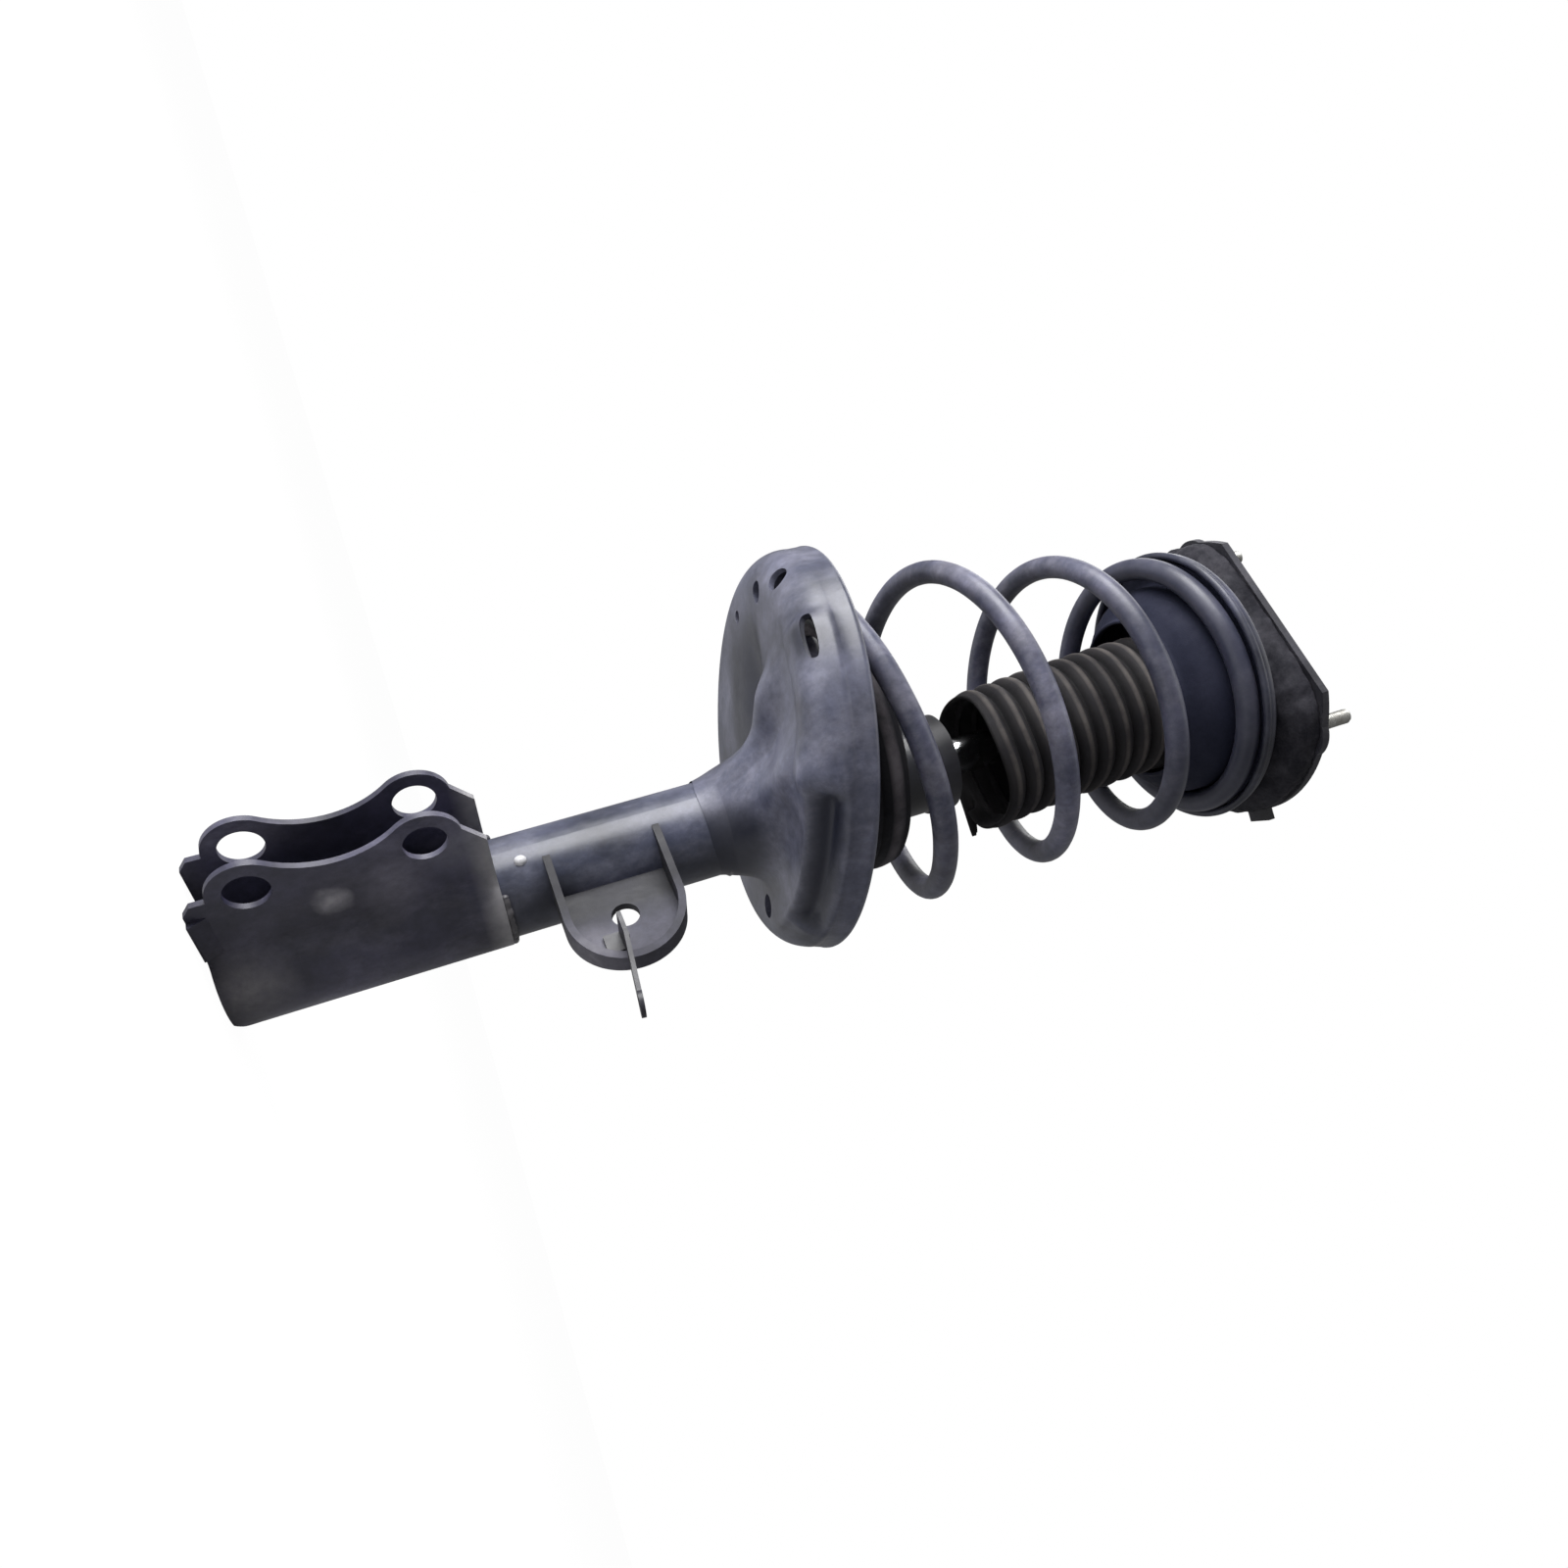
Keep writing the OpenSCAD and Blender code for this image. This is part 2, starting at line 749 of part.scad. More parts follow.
function kick(t) = coil_kick * (ease((t - 0.12) / 0.25) - ease((t - 0.5) / 0.4));
function coil_x(t) = coil_off(t) + coil_r(t) * cos(360 * t);
function pan_line(t) = seat_h + wire_lift + tilt_rise * coil_x(t);
function coil_z(t) =
    let (q = ease((t + blend_turns) / (2 * blend_turns)),
         u = ease((t - turns_free + blend_turns) / (2 * blend_turns)),
         low = pan_line(t) * (1 - q) + climb(t) * q)
    low * (1 - u) + (strut_h + spring_top_z) * u;
function coil_point(t) = [coil_x(t), coil_r(t) * sin(360 * t), coil_z(t)];

// Rings of wire points about each centre, square to the run
function unit(v) = v / norm(v);
function wire_ring(c, along) =
    let (side = unit(cross(along, [0, 0, 1])), up = cross(side, along))
    [for (k = [0:wire_sides - 1])
        let (a = 360 * k / wire_sides) c + wire_d / 2 * (cos(a) * side + sin(a) * up)];
ring_count = ceil((turns_low + turns_free + turns_top) * coil_steps);
function ring_turn(i) = -turns_low + (turns_low + turns_free + turns_top) * i / ring_count;
wire_rings = [for (i = [0:ring_count]) let (t = ring_turn(i), d = 0.002)
    wire_ring(coil_point(t), unit(coil_point(t + d) - coil_point(t - d)))];
wire_points = [for (r = wire_rings) each r];
wire_faces = concat(
    [for (i = [0:ring_count - 1], k = [0:wire_sides - 1])
        let (a = i * wire_sides + k, b = i * wire_sides + (k + 1) % wire_sides)
        [a, b, b + wire_sides]],
    [for (i = [0:ring_count - 1], k = [0:wire_sides - 1])
        let (a = i * wire_sides + k, b = i * wire_sides + (k + 1) % wire_sides)
        [a, b + wire_sides, a + wire_sides]],
    [for (k = [1:wire_sides - 2]) [0, k + 1, k]],
    [for (k = [1:wire_sides - 2]) let (e = ring_count * wire_sides) [e, e + k, e + k + 1]]);

// Least gap between turns, over centres at least half a turn apart
wire_centres = [for (i = [0:ring_count]) coil_point(ring_turn(i))];
least_gap = min([for (i = [0:ring_count], j = [i + coil_steps / 2:1:ring_count])
    norm(wire_centres[i] - wire_centres[j])]) - wire_d;
echo(least_gap_between_turns = least_gap);

module coil_spring() {
    color([0.16, 0.16, 0.2])
        on_tube()
            rotate([0, 0, seat_az])
                polyhedron(wire_points, wire_faces, convexity = 12);
}

// ---- Boot and bump stop ----

// Closed outline of the boot's wall as [radius, depth under its top]
boot_sides = 24;
collar_len = 13;
collar_taper = 2;
spigot_len = collar_len - collar_taper - part_gap;
boot_r = boot_od / 2;
rib_pitch = (boot_len - collar_len) / boot_ribs;
boot_outside = concat([[boot_r, 0], [boot_r, collar_len - collar_taper]],
    [for (i = [0:boot_ribs - 1]) each [
        [boot_r - boot_rib, collar_len + rib_pitch * i], [boot_r, collar_len + rib_pitch * (i + 0.5)]]],
    [[boot_r - 2, boot_len]]);
boot_outline = concat(boot_outside,
    [for (i = [len(boot_outside) - 1:-1:0]) boot_outside[i] - [boot_wall, 0]]);
function droop_at(depth) = boot_droop * pow(depth / boot_len, 2);
boot_points = [for (p = boot_outline, k = [0:boot_sides - 1])
    let (a = 360 * k / boot_sides)
    [p[0] * cos(a) - droop_at(p[1]), p[0] * sin(a), boot_top - p[1]]];
boot_count = len(boot_outline);
boot_faces = [for (i = [0:boot_count - 1], k = [0:boot_sides - 1], half = [0, 1])
    let (j = (i + 1) % boot_count, m = (k + 1) % boot_sides,
         a = i * boot_sides + k, b = i * boot_sides + m,
         c = j * boot_sides + m, d = j * boot_sides + k)
    half == 0 ? [a, b, c] : [a, c, d]];

module dust_boot() {
    color([0.09, 0.08, 0.08])
        rotate([0, 0, seat_az])
            polyhedron(boot_points, boot_faces, convexity = 12);
}

module bump_stop() {
    waist = 4;
    cells = 3;
    cell = (bump_len - 8) / cells;
    color([0.5, 0.42, 0.2])
        translate([0, 0, bump_top])
            rotate([180, 0, 0])
                rotate_extrude()
                    polygon(concat([[rod_r + 0.5, 0], [bump_d / 2, 0]],
                        [for (i = [0:cells - 1]) each [
                            [bump_d / 2 - i * 2, cell * (i + 0.75)],
                            [bump_d / 2 - waist - i * 2, cell * (i + 1)]]],
                        [[rod_r + 4, bump_len], [rod_r + 0.5, bump_len]]));
}

module bump_cup() {
    lip = 9;
    color([0.3, 0.3, 0.32]) {
        ring(bump_d / 2 + 2, rod_r + 1, bump_top, seat_under);
        ring(bump_d / 2 + 2, bump_d / 2, bump_top - lip, bump_top);
    }
}

// ---- Upper seat and bearing ----

module upper_section() {
    c = [upper_r - upper_corner, seat_top - upper_corner];
    low = seat_top - upper_skirt;
    outer = arc(c, upper_corner, 90, 0);
    inner = arc(c, upper_corner - upper_sheet, 0, 90);
    polygon(concat([[0, seat_top]], outer, [[upper_r, low], [upper_r - upper_sheet, low]],
        inner, [[0, seat_under]]));
}

module upper_spring_seat() {
    spigot_r_out = (boot_r - boot_wall) * cos(180 / boot_sides) - part_gap / 2;
    color([0.1, 0.11, 0.14])
        difference() {
            union() {
                rotate([0, 0, seat_az])
                    translate([upper_off, 0, 0])
                        rotate_extrude()
                            upper_section();
                // Rolled edge
                rotate([0, 0, seat_az])
                    translate([upper_off, 0, 0])
                        rotate_extrude()
                            translate([upper_r - upper_sheet / 2, seat_top - upper_skirt])
                                circle(r = upper_sheet * 0.8, $fn = 24);
                // Spigot that the boot hangs on
                ring(spigot_r_out, spigot_r_out - 2.5, seat_under - spigot_len, seat_top - tiny);
            }
            translate([0, 0, seat_under - over])
                cylinder(r = rod_r + 3, h = upper_sheet + 2 * over);
        }
}

// Flat ring over the spring's top turn, and a bell inside that turn which narrows down to the boot
module upper_spring_pad() {
    ring_r = upper_r - upper_corner;
    bell_r = coil_r_top - wire_d / 2 - 1;
    mouth_r = boot_r + upper_off + 2;
    bell_low = seat_under - bell_h;
    color([0.05, 0.05, 0.05])
        rotate([0, 0, seat_az])
            translate([upper_off, 0, 0])
                rotate_extrude()
                    polygon([[ring_r, seat_under], [ring_r, seat_under - pad_t],
                        [bell_r, seat_under - pad_t], [bell_r, seat_under - bell_h * 0.45],
                        [bell_r - 3, seat_under - bell_h * 0.6], [mouth_r + 3, bell_low + bell_h * 0.1],
                        [mouth_r + 2, bell_low], [mouth_r, bell_low],
                        [bell_r - 7, seat_under - bell_h * 0.55], [bell_r - 4, seat_under - bell_h * 0.4],
                        [bell_r - 4, seat_under]]);
}

module race_section(z0, z1) {
    difference() {
        translate([race_in_r, z0])
            square([race_out_r - race_in_r, z1 - z0]);
        translate([ball_ring_r, ball_z])
            circle(r = ball_d / 2 + ball_fit);
    }
}

module bearing_lower_race() {
    color([0.6, 0.6, 0.62])
        rotate_extrude()
            race_section(seat_top, ball_z - race_clear);
}

module bearing_upper_race() {
    color([0.6, 0.6, 0.62])
        rotate_extrude()
            race_section(ball_z + race_clear, rubber_low + cup_h - cup_t);
}

module bearing_balls() {
    color([0.8, 0.8, 0.82])
        for (i = [0:ball_n - 1])
            rotate([0, 0, 360 * i / ball_n])
                translate([ball_ring_r, 0, ball_z])
                    sphere(d = ball_d, $fn = 24);
}

module bearing_cage() {
    color([0.75, 0.7, 0.55])
        difference() {
            ring(ball_ring_r + 6, ball_ring_r - 6, ball_z - race_clear + 0.3, ball_z + race_clear - 0.3);
            for (i = [0:ball_n - 1])
                rotate([0, 0, 360 * i / ball_n])
                    translate([ball_ring_r, 0, ball_z - 5])
                        cylinder(d = ball_d + 0.1, h = 10, $fn = 24);
        }
}

module bearing_seal() {
    color([0.05, 0.05, 0.05])
        ring(race_out_r + 7, race_out_r + 4, seat_top + part_gap, rubber_low);
}

// ---- Top mount ----

module mount_cup() {
    color([0.15, 0.15, 0.17]) {
        ring(cup_flange_r, race_out_r + cup_t, rubber_low, rubber_low + cup_t);
        ring(race_out_r + cup_t, race_out_r, rubber_low, rubber_low + cup_h);
        ring(race_out_r, race_in_r, rubber_low + cup_h - cup_t, rubber_low + cup_h);
        ring(race_in_r, race_in_r - cup_t, rubber_low, rubber_low + cup_h);
    }
}

// Places one child at each stud
module at_studs() {
    for (i = [0:2])
        rotate([0, 0, stud_az + 120 * i])
            translate([stud_pcd / 2, 0, 0])
                children();
}

// What the flat takes off the outboard side
module mount_flat_cut() {
    rotate(stud_az - 60)
        translate([mount_flat, -2 * mount_r])
            square([mount_r, 4 * mount_r]);
}

stud_head_h = 4;
stud_head_r = stud_d * 0.85;
stud_shank_r = stud_d * 0.55;

module mount_rubber() {
    low = rubber_low + cup_t;
    top = rubber_top;
    cup_in = race_in_r - cup_t;
    cup_out = race_out_r + cup_t;
    flange_r = cup_flange_r + 4;
    color([0.07, 0.07, 0.08])
        difference() {
            rotate_extrude()
                polygon([[core_r, low + 1], [cup_in, low + 1], [cup_in, rubber_low + cup_h],
                    [cup_out, rubber_low + cup_h], [cup_out, low], [cup_flange_r, low],
                    [cup_flange_r, rubber_low + 1], [flange_r, rubber_low + 1],
                    [mount_r - 3, rubber_low + 7], [mount_r, top - 6], [mount_r, top],
                    [mount_open_r + 4, top], [mount_open_r, top - 6], [core_r, washer_low - 2]]);
            at_studs()
                translate([0, 0, top - stud_head_h])
                    cylinder(r = stud_head_r, h = stud_head_h + over);
            translate([0, 0, rubber_low - over])
                linear_extrude(mount_body_h + 2 * over)
                    mount_flat_cut();
        }
}

module mount_sleeve() {
    color([0.5, 0.5, 0.52])
        ring(core_r, rod_thread_d / 2, rod_shoulder, washer_low);
}

module plate_outline() {
    difference() {
        union() {
            circle(r = mount_r);
            for (i = [0:2])
                rotate(stud_az + 120 * i)
                    translate([stud_pcd / 2, 0])
                        circle(r = stud_lobe_r);
            // Index tab
            rotate(seat_az + 180)
                translate([mount_r - 3, -8])
                    square([9, 16]);
        }
        circle(r = mount_open_r);
        mount_flat_cut();
    }
}

module mount_plate() {
    color([0.3, 0.3, 0.33])
        difference() {
            translate([0, 0, rubber_top])
                linear_extrude(mount_plate_t)
                    plate_outline();
            at_studs()
                translate([0, 0, rubber_top - over])
                    cylinder(r = stud_shank_r, h = mount_plate_t + 2 * over);
        }
}

module mount_studs() {
    color([0.5, 0.5, 0.5])
        at_studs() {
            translate([0, 0, rubber_top - stud_head_h])
                cylinder(r = stud_head_r, h = stud_head_h);
            // Pressed shank in the plate, then the thread
            translate([0, 0, rubber_top])
                cylinder(r = stud_shank_r, h = mount_plate_t);
            cylinder(d = stud_d, h = stud_h - 1);
            translate([0, 0, stud_h - 1])
                cylinder(d1 = stud_d, d2 = stud_d - 2, h = 1);
        }
}

module rod_washer() {
    color([0.55, 0.5, 0.3])
        ring(core_r + 2.5, rod_thread_d / 2, washer_low, nut_low);
}

module rod_nut() {
    color([0.55, 0.5, 0.3])
        difference() {
            translate([0, 0, nut_low])
                cylinder(r = nut_flats / 2 / cos(30), h = nut_h, $fn = 6);
            translate([0, 0, nut_low - over])
                cylinder(d = rod_thread_d, h = nut_h + 2 * over);
        }
}

strut_tube();
base_cup();
gland_cap();
knuckle_bracket();
bracket_weld();
link_bracket();
lead_bracket();
lower_spring_seat();
seat_weld();
lower_spring_pad();
pressure_tube();
base_valve();
rod_guide();
guide_bush();
rod_seal();
piston_rod();
piston();
piston_band();
valve_shims();
piston_nut();
rebound_stop();
coil_spring();
dust_boot();
bump_stop();
bump_cup();
upper_spring_pad();
upper_spring_seat();
bearing_lower_race();
bearing_balls();
bearing_cage();
bearing_upper_race();
bearing_seal();
mount_cup();
mount_rubber();
mount_sleeve();
mount_plate();
mount_studs();
rod_washer();
rod_nut();
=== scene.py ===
# %% [markdown]
# # A front suspension strut
# A strut is a damper, a coil spring and a top mount that bolt between a car's wheel and its body.
# The measured solids come in as a fixed frame. This notebook gives them their finishes, and makes the
# pieces that solids show too plainly: the wire of the spring, the ribbed rubber boot, the pressed pan,
# the rubber, the welds and the threads. All lengths are in metres, and Z runs up the damper's axis.

# %% Load the frame
import math

import bmesh
import bpy
import numpy as np
from mathutils import Matrix, Vector


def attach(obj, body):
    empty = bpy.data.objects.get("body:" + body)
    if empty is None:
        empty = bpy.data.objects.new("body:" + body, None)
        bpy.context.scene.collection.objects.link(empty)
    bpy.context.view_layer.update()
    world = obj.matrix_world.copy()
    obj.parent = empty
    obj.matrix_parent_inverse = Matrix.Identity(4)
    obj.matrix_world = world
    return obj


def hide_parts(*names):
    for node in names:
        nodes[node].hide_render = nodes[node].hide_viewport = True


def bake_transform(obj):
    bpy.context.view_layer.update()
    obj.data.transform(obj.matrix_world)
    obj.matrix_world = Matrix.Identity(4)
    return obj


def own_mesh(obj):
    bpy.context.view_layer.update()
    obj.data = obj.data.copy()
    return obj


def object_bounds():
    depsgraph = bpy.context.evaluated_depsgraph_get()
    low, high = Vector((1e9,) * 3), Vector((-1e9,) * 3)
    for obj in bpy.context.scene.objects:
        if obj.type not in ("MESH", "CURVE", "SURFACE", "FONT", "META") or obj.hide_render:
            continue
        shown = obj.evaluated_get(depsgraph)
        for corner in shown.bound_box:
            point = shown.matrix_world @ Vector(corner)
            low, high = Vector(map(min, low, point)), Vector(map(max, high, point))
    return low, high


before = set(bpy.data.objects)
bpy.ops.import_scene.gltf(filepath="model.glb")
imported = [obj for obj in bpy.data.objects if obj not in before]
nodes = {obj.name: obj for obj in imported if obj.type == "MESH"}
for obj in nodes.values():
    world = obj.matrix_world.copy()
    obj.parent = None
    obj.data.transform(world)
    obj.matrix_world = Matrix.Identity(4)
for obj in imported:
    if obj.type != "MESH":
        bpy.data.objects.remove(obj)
cad_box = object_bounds()

# %% [markdown]
# The sizes below are the ones the solids were drawn with. Heights called "over the tube's end" are
# turned into this frame's Z by taking the strut's height away, because Z is 0 at the tower face.

# %% Sizes
strut_h = 0.537
tube_r = 0.024
seat_az = math.radians(-48)
seat_tilt = math.radians(11.5)
seat_h, seat_offset, seat_r = 0.255, 0.030, 0.100
seat_depth, seat_sheet, seat_corner, pad_t = 0.024, 0.003, 0.019, 0.003
wire_d, coil_r_low, coil_r_top = 0.012, 0.086, 0.0655
coil_off_low, coil_off_top, coil_draw_in = 0.0245, 0.003, 0.010
turns_low, turns_free, turns_top = 0.85, 3.32, 0.5
seat_top = -0.027
seat_under = seat_top - 0.0025
boot_r, boot_rib, boot_wall, boot_len, collar_len, boot_ribs = 0.0375, 0.0045, 0.0014, 0.136, 0.013, 11
travel = 0.120
print("the damper closes by", travel * 1000, "mm")

# %% [markdown]
# Every new piece is a grid of points: rows along one parameter, columns along the other. One helper
# turns such an array into a mesh, and another merges the seams and points all faces outwards.


# %% Grids into meshes
def surface(name, grid, wrap_rows=False, wrap_columns=False):
    """Mesh from points shaped (rows, columns, 3). Each cell is a quad; a wrapped side joins its first line."""
    rows, columns = grid.shape[:2]
    ids = np.arange(rows * columns).reshape(rows, columns)
    if wrap_rows:
        ids = np.vstack([ids, ids[:1]])
    if wrap_columns:
        ids = np.hstack([ids, ids[:, :1]])
    quads = np.stack([ids[:-1, :-1], ids[1:, :-1], ids[1:, 1:], ids[:-1, 1:]], -1).reshape(-1, 4)
    mesh = bpy.data.meshes.new(name)
    mesh.from_pydata(grid.reshape(-1, 3).tolist(), [], quads.tolist())
    piece = bpy.data.objects.new(name, mesh)
    bpy.context.scene.collection.objects.link(piece)
    return piece


def close_up(piece, finish=None):
    """Merges doubled points, drops faces without area, points every face outwards and gives a finish."""
    work = bmesh.new()
    work.from_mesh(piece.data)
    bmesh.ops.remove_doubles(work, verts=work.verts, dist=1e-6)
    bmesh.ops.dissolve_degenerate(work, edges=work.edges, dist=1e-7)
    bmesh.ops.recalc_face_normals(work, faces=work.faces)
    work.to_mesh(piece.data)
    work.free()
    piece.data.shade_smooth()
    if finish:
        piece.data.materials.append(finish)
    return piece


def store(piece, name, values):
    """One number for each point of a piece, kept with its mesh."""
    piece.data.attributes.new(name, "FLOAT", "POINT").data.foreach_set("value", values)


def circle(n):
    """The angles of n even steps round a full turn."""
    return np.linspace(0, 2 * np.pi, n, endpoint=False)


def around_z(r, a, z):
    """Points from a radius, an angle about Z and a height."""
    return np.stack([r * np.cos(a), r * np.sin(a), z + 0 * a], -1)


def turned(points, angle):
    """Points turned about Z by an angle."""
    c, s = math.cos(angle), math.sin(angle)
    return points @ np.array([[c, s, 0], [-s, c, 0], [0, 0, 1]])


def ease(x):
    """Smooth step from 0 to 1."""
    x = np.clip(x, 0, 1)
    return x * x * (3 - 2 * x)


def waves(x, y, z, seed, size):
    """Soft lumps: a few sine waves of unrelated directions added up, between about -1 and 1."""
    rng = np.random.default_rng(seed)
    total = 0
    for k in range(7):
        d = rng.normal(size=3)
        d = d / np.linalg.norm(d) * rng.uniform(0.6, 1.8) * 2 * math.pi / size
        total = total + np.sin(d[0] * x + d[1] * y + d[2] * z + rng.uniform(0, 6.28))
    return total / 4


print("helpers ready")

# %% [markdown]
# ## The camera
# A real 27 mm lens, close to the strut, gives the strong perspective in which the near end of the part
# looks larger. The strut stands upright in this frame, so the camera is rolled to lay it on its side.

# %% Camera
lens_point = np.array([-0.2402, 0.07996, 0.5240])
axis_dir = np.array([0.9243, -0.2645, 0.2753])
image_up_dir = np.array([-0.2751, -0.9614, 0.0])
away_dir = np.array([-0.2647, 0.0757, 0.9614])
roll = math.radians(48)
out_dir = math.cos(roll) * image_up_dir - math.sin(roll) * away_dir
side_dir = -(math.cos(roll) * away_dir + math.sin(roll) * image_up_dir)
into = np.array([out_dir, side_dir, axis_dir])
into /= np.linalg.norm(into, axis=1)[:, None]
place = -into @ lens_point - np.array([0, 0, strut_h - 0.005])
right, up, ahead = into[:, 0], -into[:, 1], into[:, 2]
camera = bpy.data.objects.new("camera", bpy.data.cameras.new("camera"))
bpy.context.scene.collection.objects.link(camera)
camera.data.lens = 27
camera.data.sensor_width = 36
camera.data.clip_start, camera.data.clip_end = 0.02, 50
turn = Matrix([list(right), list(up), list(-ahead)]).transposed()
camera.matrix_world = Matrix.Translation(Vector(place)) @ turn.to_4x4()
bpy.context.scene.camera = camera
print("camera at", np.round(place, 3))

# %% [markdown]
# ## Finishes
# Old painted steel isn't one colour. Under a thin film of dust the black paint varies from navy to
# grey, and its gloss comes and goes. Two noises of different size mix three colours, the same noises
# drive the roughness, and a fine one raises the surface a little.


# %% Node helpers
def material(name):
    """A new material with its nodes, its shader and object coordinates."""
    m = bpy.data.materials.new(name)
    m.use_nodes = True
    tree = m.node_tree
    shader = tree.nodes["Principled BSDF"]
    coords = tree.nodes.new("ShaderNodeTexCoord")
    return m, tree, shader, coords.outputs["Object"]


def noise(tree, coords, scale, detail=6.0, rough=0.6, stretch=(1, 1, 1)):
    """A noise on the coordinates, stretched along the axes."""
    mapping = tree.nodes.new("ShaderNodeMapping")
    mapping.inputs["Scale"].default_value = stretch
    tree.links.new(coords, mapping.inputs["Vector"])
    n = tree.nodes.new("ShaderNodeTexNoise")
    n.inputs["Scale"].default_value = scale
    n.inputs["Detail"].default_value = detail
    n.inputs["Roughness"].default_value = rough
    tree.links.new(mapping.outputs["Vector"], n.inputs["Vector"])
    return n.outputs["Fac"]


def ramp(tree, value, stops):
    """A colour ramp; stops are (place, grey or colour)."""
    r = tree.nodes.new("ShaderNodeValToRGB")
    for k, (place_at, colour) in enumerate(stops):
        e = r.color_ramp.elements[k] if k < 2 else r.color_ramp.elements.new(place_at)
        e.position = place_at
        e.color = (*colour, 1) if isinstance(colour, tuple) else (colour, colour, colour, 1)
    tree.links.new(value, r.inputs["Fac"])
    return r.outputs["Color"]


def mix(tree, amount, a, b):
    """Colour a where amount is 0 and b where it is 1."""
    n = tree.nodes.new("ShaderNodeMix")
    n.data_type = "RGBA"
    for socket, value in ((n.inputs["Factor"], amount), (n.inputs[6], a), (n.inputs[7], b)):
        if isinstance(value, tuple):
            socket.default_value = (*value, 1)
        elif isinstance(value, float):
            socket.default_value = value
        else:
            tree.links.new(value, socket)
    return n.outputs[2]


def raise_by(tree, shader, *layers):
    """Bumps added up; each layer is (height, strength, distance in metres)."""
    normal = None
    for height, strength, distance in layers:
        b = tree.nodes.new("ShaderNodeBump")
        b.inputs["Strength"].default_value = strength
        b.inputs["Distance"].default_value = distance
        tree.links.new(height, b.inputs["Height"])
        if normal:
            tree.links.new(normal, b.inputs["Normal"])
        normal = b.outputs["Normal"]
    tree.links.new(normal, shader.inputs["Normal"])


def axis_value(tree, coords, axis):
    """One coordinate of the object, in metres."""
    n = tree.nodes.new("ShaderNodeSeparateXYZ")
    tree.links.new(coords, n.inputs[0])
    return n.outputs[axis]


def span(tree, value, low, high):
    """0 at a low value and 1 at a high one, clamped; low may be the larger."""
    n = tree.nodes.new("ShaderNodeMapRange")
    n.inputs["From Min"].default_value, n.inputs["From Max"].default_value = low, high
    tree.links.new(value, n.inputs["Value"])
    return n.outputs["Result"]


def spot(tree, coords, centre, size):
    """1 at a place on the object, falling to 0 at a size from it, with an edge that wanders with a noise."""
    wander = tree.nodes.new("ShaderNodeMix")
    wander.data_type, wander.blend_type = "RGBA", "LINEAR_LIGHT"
    wander.inputs["Factor"].default_value = 0.35 * size
    tree.links.new(coords, wander.inputs[6])
    tree.links.new(noise_colour(tree, coords, 1.2 / size), wander.inputs[7])
    gap = tree.nodes.new("ShaderNodeVectorMath")
    gap.operation = "DISTANCE"
    gap.inputs[1].default_value = centre
    tree.links.new(wander.outputs[2], gap.inputs[0])
    return span(tree, gap.outputs["Value"], size, 0.0)


def noise_colour(tree, coords, scale):
    """A three-channel noise, to push coordinates about."""
    n = tree.nodes.new("ShaderNodeTexNoise")
    n.inputs["Scale"].default_value = scale
    n.inputs["Detail"].default_value = 4.0
    tree.links.new(coords, n.inputs["Vector"])
    return n.outputs["Color"]


def scaled(tree, base, factor):
    """A colour times a grey from another node."""
    n = tree.nodes.new("ShaderNodeMix")
    n.data_type, n.blend_type = "RGBA", "MULTIPLY"
    n.inputs["Factor"].default_value = 1.0
    tree.links.new(base, n.inputs[6])
    tree.links.new(factor, n.inputs[7])
    return n.outputs[2]


def point_value(tree, name):
    """A number stored on the mesh's points."""
    n = tree.nodes.new("ShaderNodeAttribute")
    n.attribute_name = name
    return n.outputs["Fac"]


print("node helpers ready")

# %% [markdown]
# Every painted piece uses the same recipe with its own colours. Where a piece has places of its own,
# such as a rubbed cheek or a hollow that no light reaches, a small function changes the colour there.


# %% Painted steel
def old_paint(name, dark, mid, dust, dusty=0.5, gloss=(0.34, 0.62), pits=0.5, chips=0.0, places=None):
    """Weathered black paint: dark and mid vary in patches, dust settles over them, and chips show rust.

    places(tree, coords, base) may darken or lighten parts of the base and returns the new one."""
    m, tree, shader, coords = material(name)
    patches = noise(tree, coords, 22, 8, 0.62)
    fine = noise(tree, coords, 260, 6, 0.7)
    film = noise(tree, coords, 48, 10, 0.72, (1, 1, 0.45))
    base = mix(tree, ramp(tree, patches, [(0.38, 0.0), (0.66, 1.0)]), dark, mid)
    cover = ramp(tree, film, [(0.5 - 0.1 * dusty, 0.0), (0.86 - 0.1 * dusty, dusty)])
    base = mix(tree, cover, base, dust)
    speck = ramp(tree, fine, [(0.35, 0.82), (0.68, 1.18)])
    base = scaled(tree, base, speck)
    cloud = ramp(tree, noise(tree, coords, 17, 6, 0.6), [(0.36, 0.60), (0.64, 1.38)])
    base = scaled(tree, base, cloud)
    if chips > 0:
        flakes = noise(tree, coords, 95, 12, 0.78)
        spots = ramp(tree, flakes, [(0.70 - 0.05 * chips, 0.0), (0.73, chips)])
        base = mix(tree, spots, base, (0.075, 0.042, 0.028))
    if places:
        base = places(tree, coords, base)
    tree.links.new(base, shader.inputs["Base Color"])
    tree.links.new(ramp(tree, film, [(0.3, gloss[0]), (0.75, gloss[1])]), shader.inputs["Roughness"])
    raise_by(tree, shader, (patches, 0.25, 0.0008), (fine, pits, 0.00012))
    return m


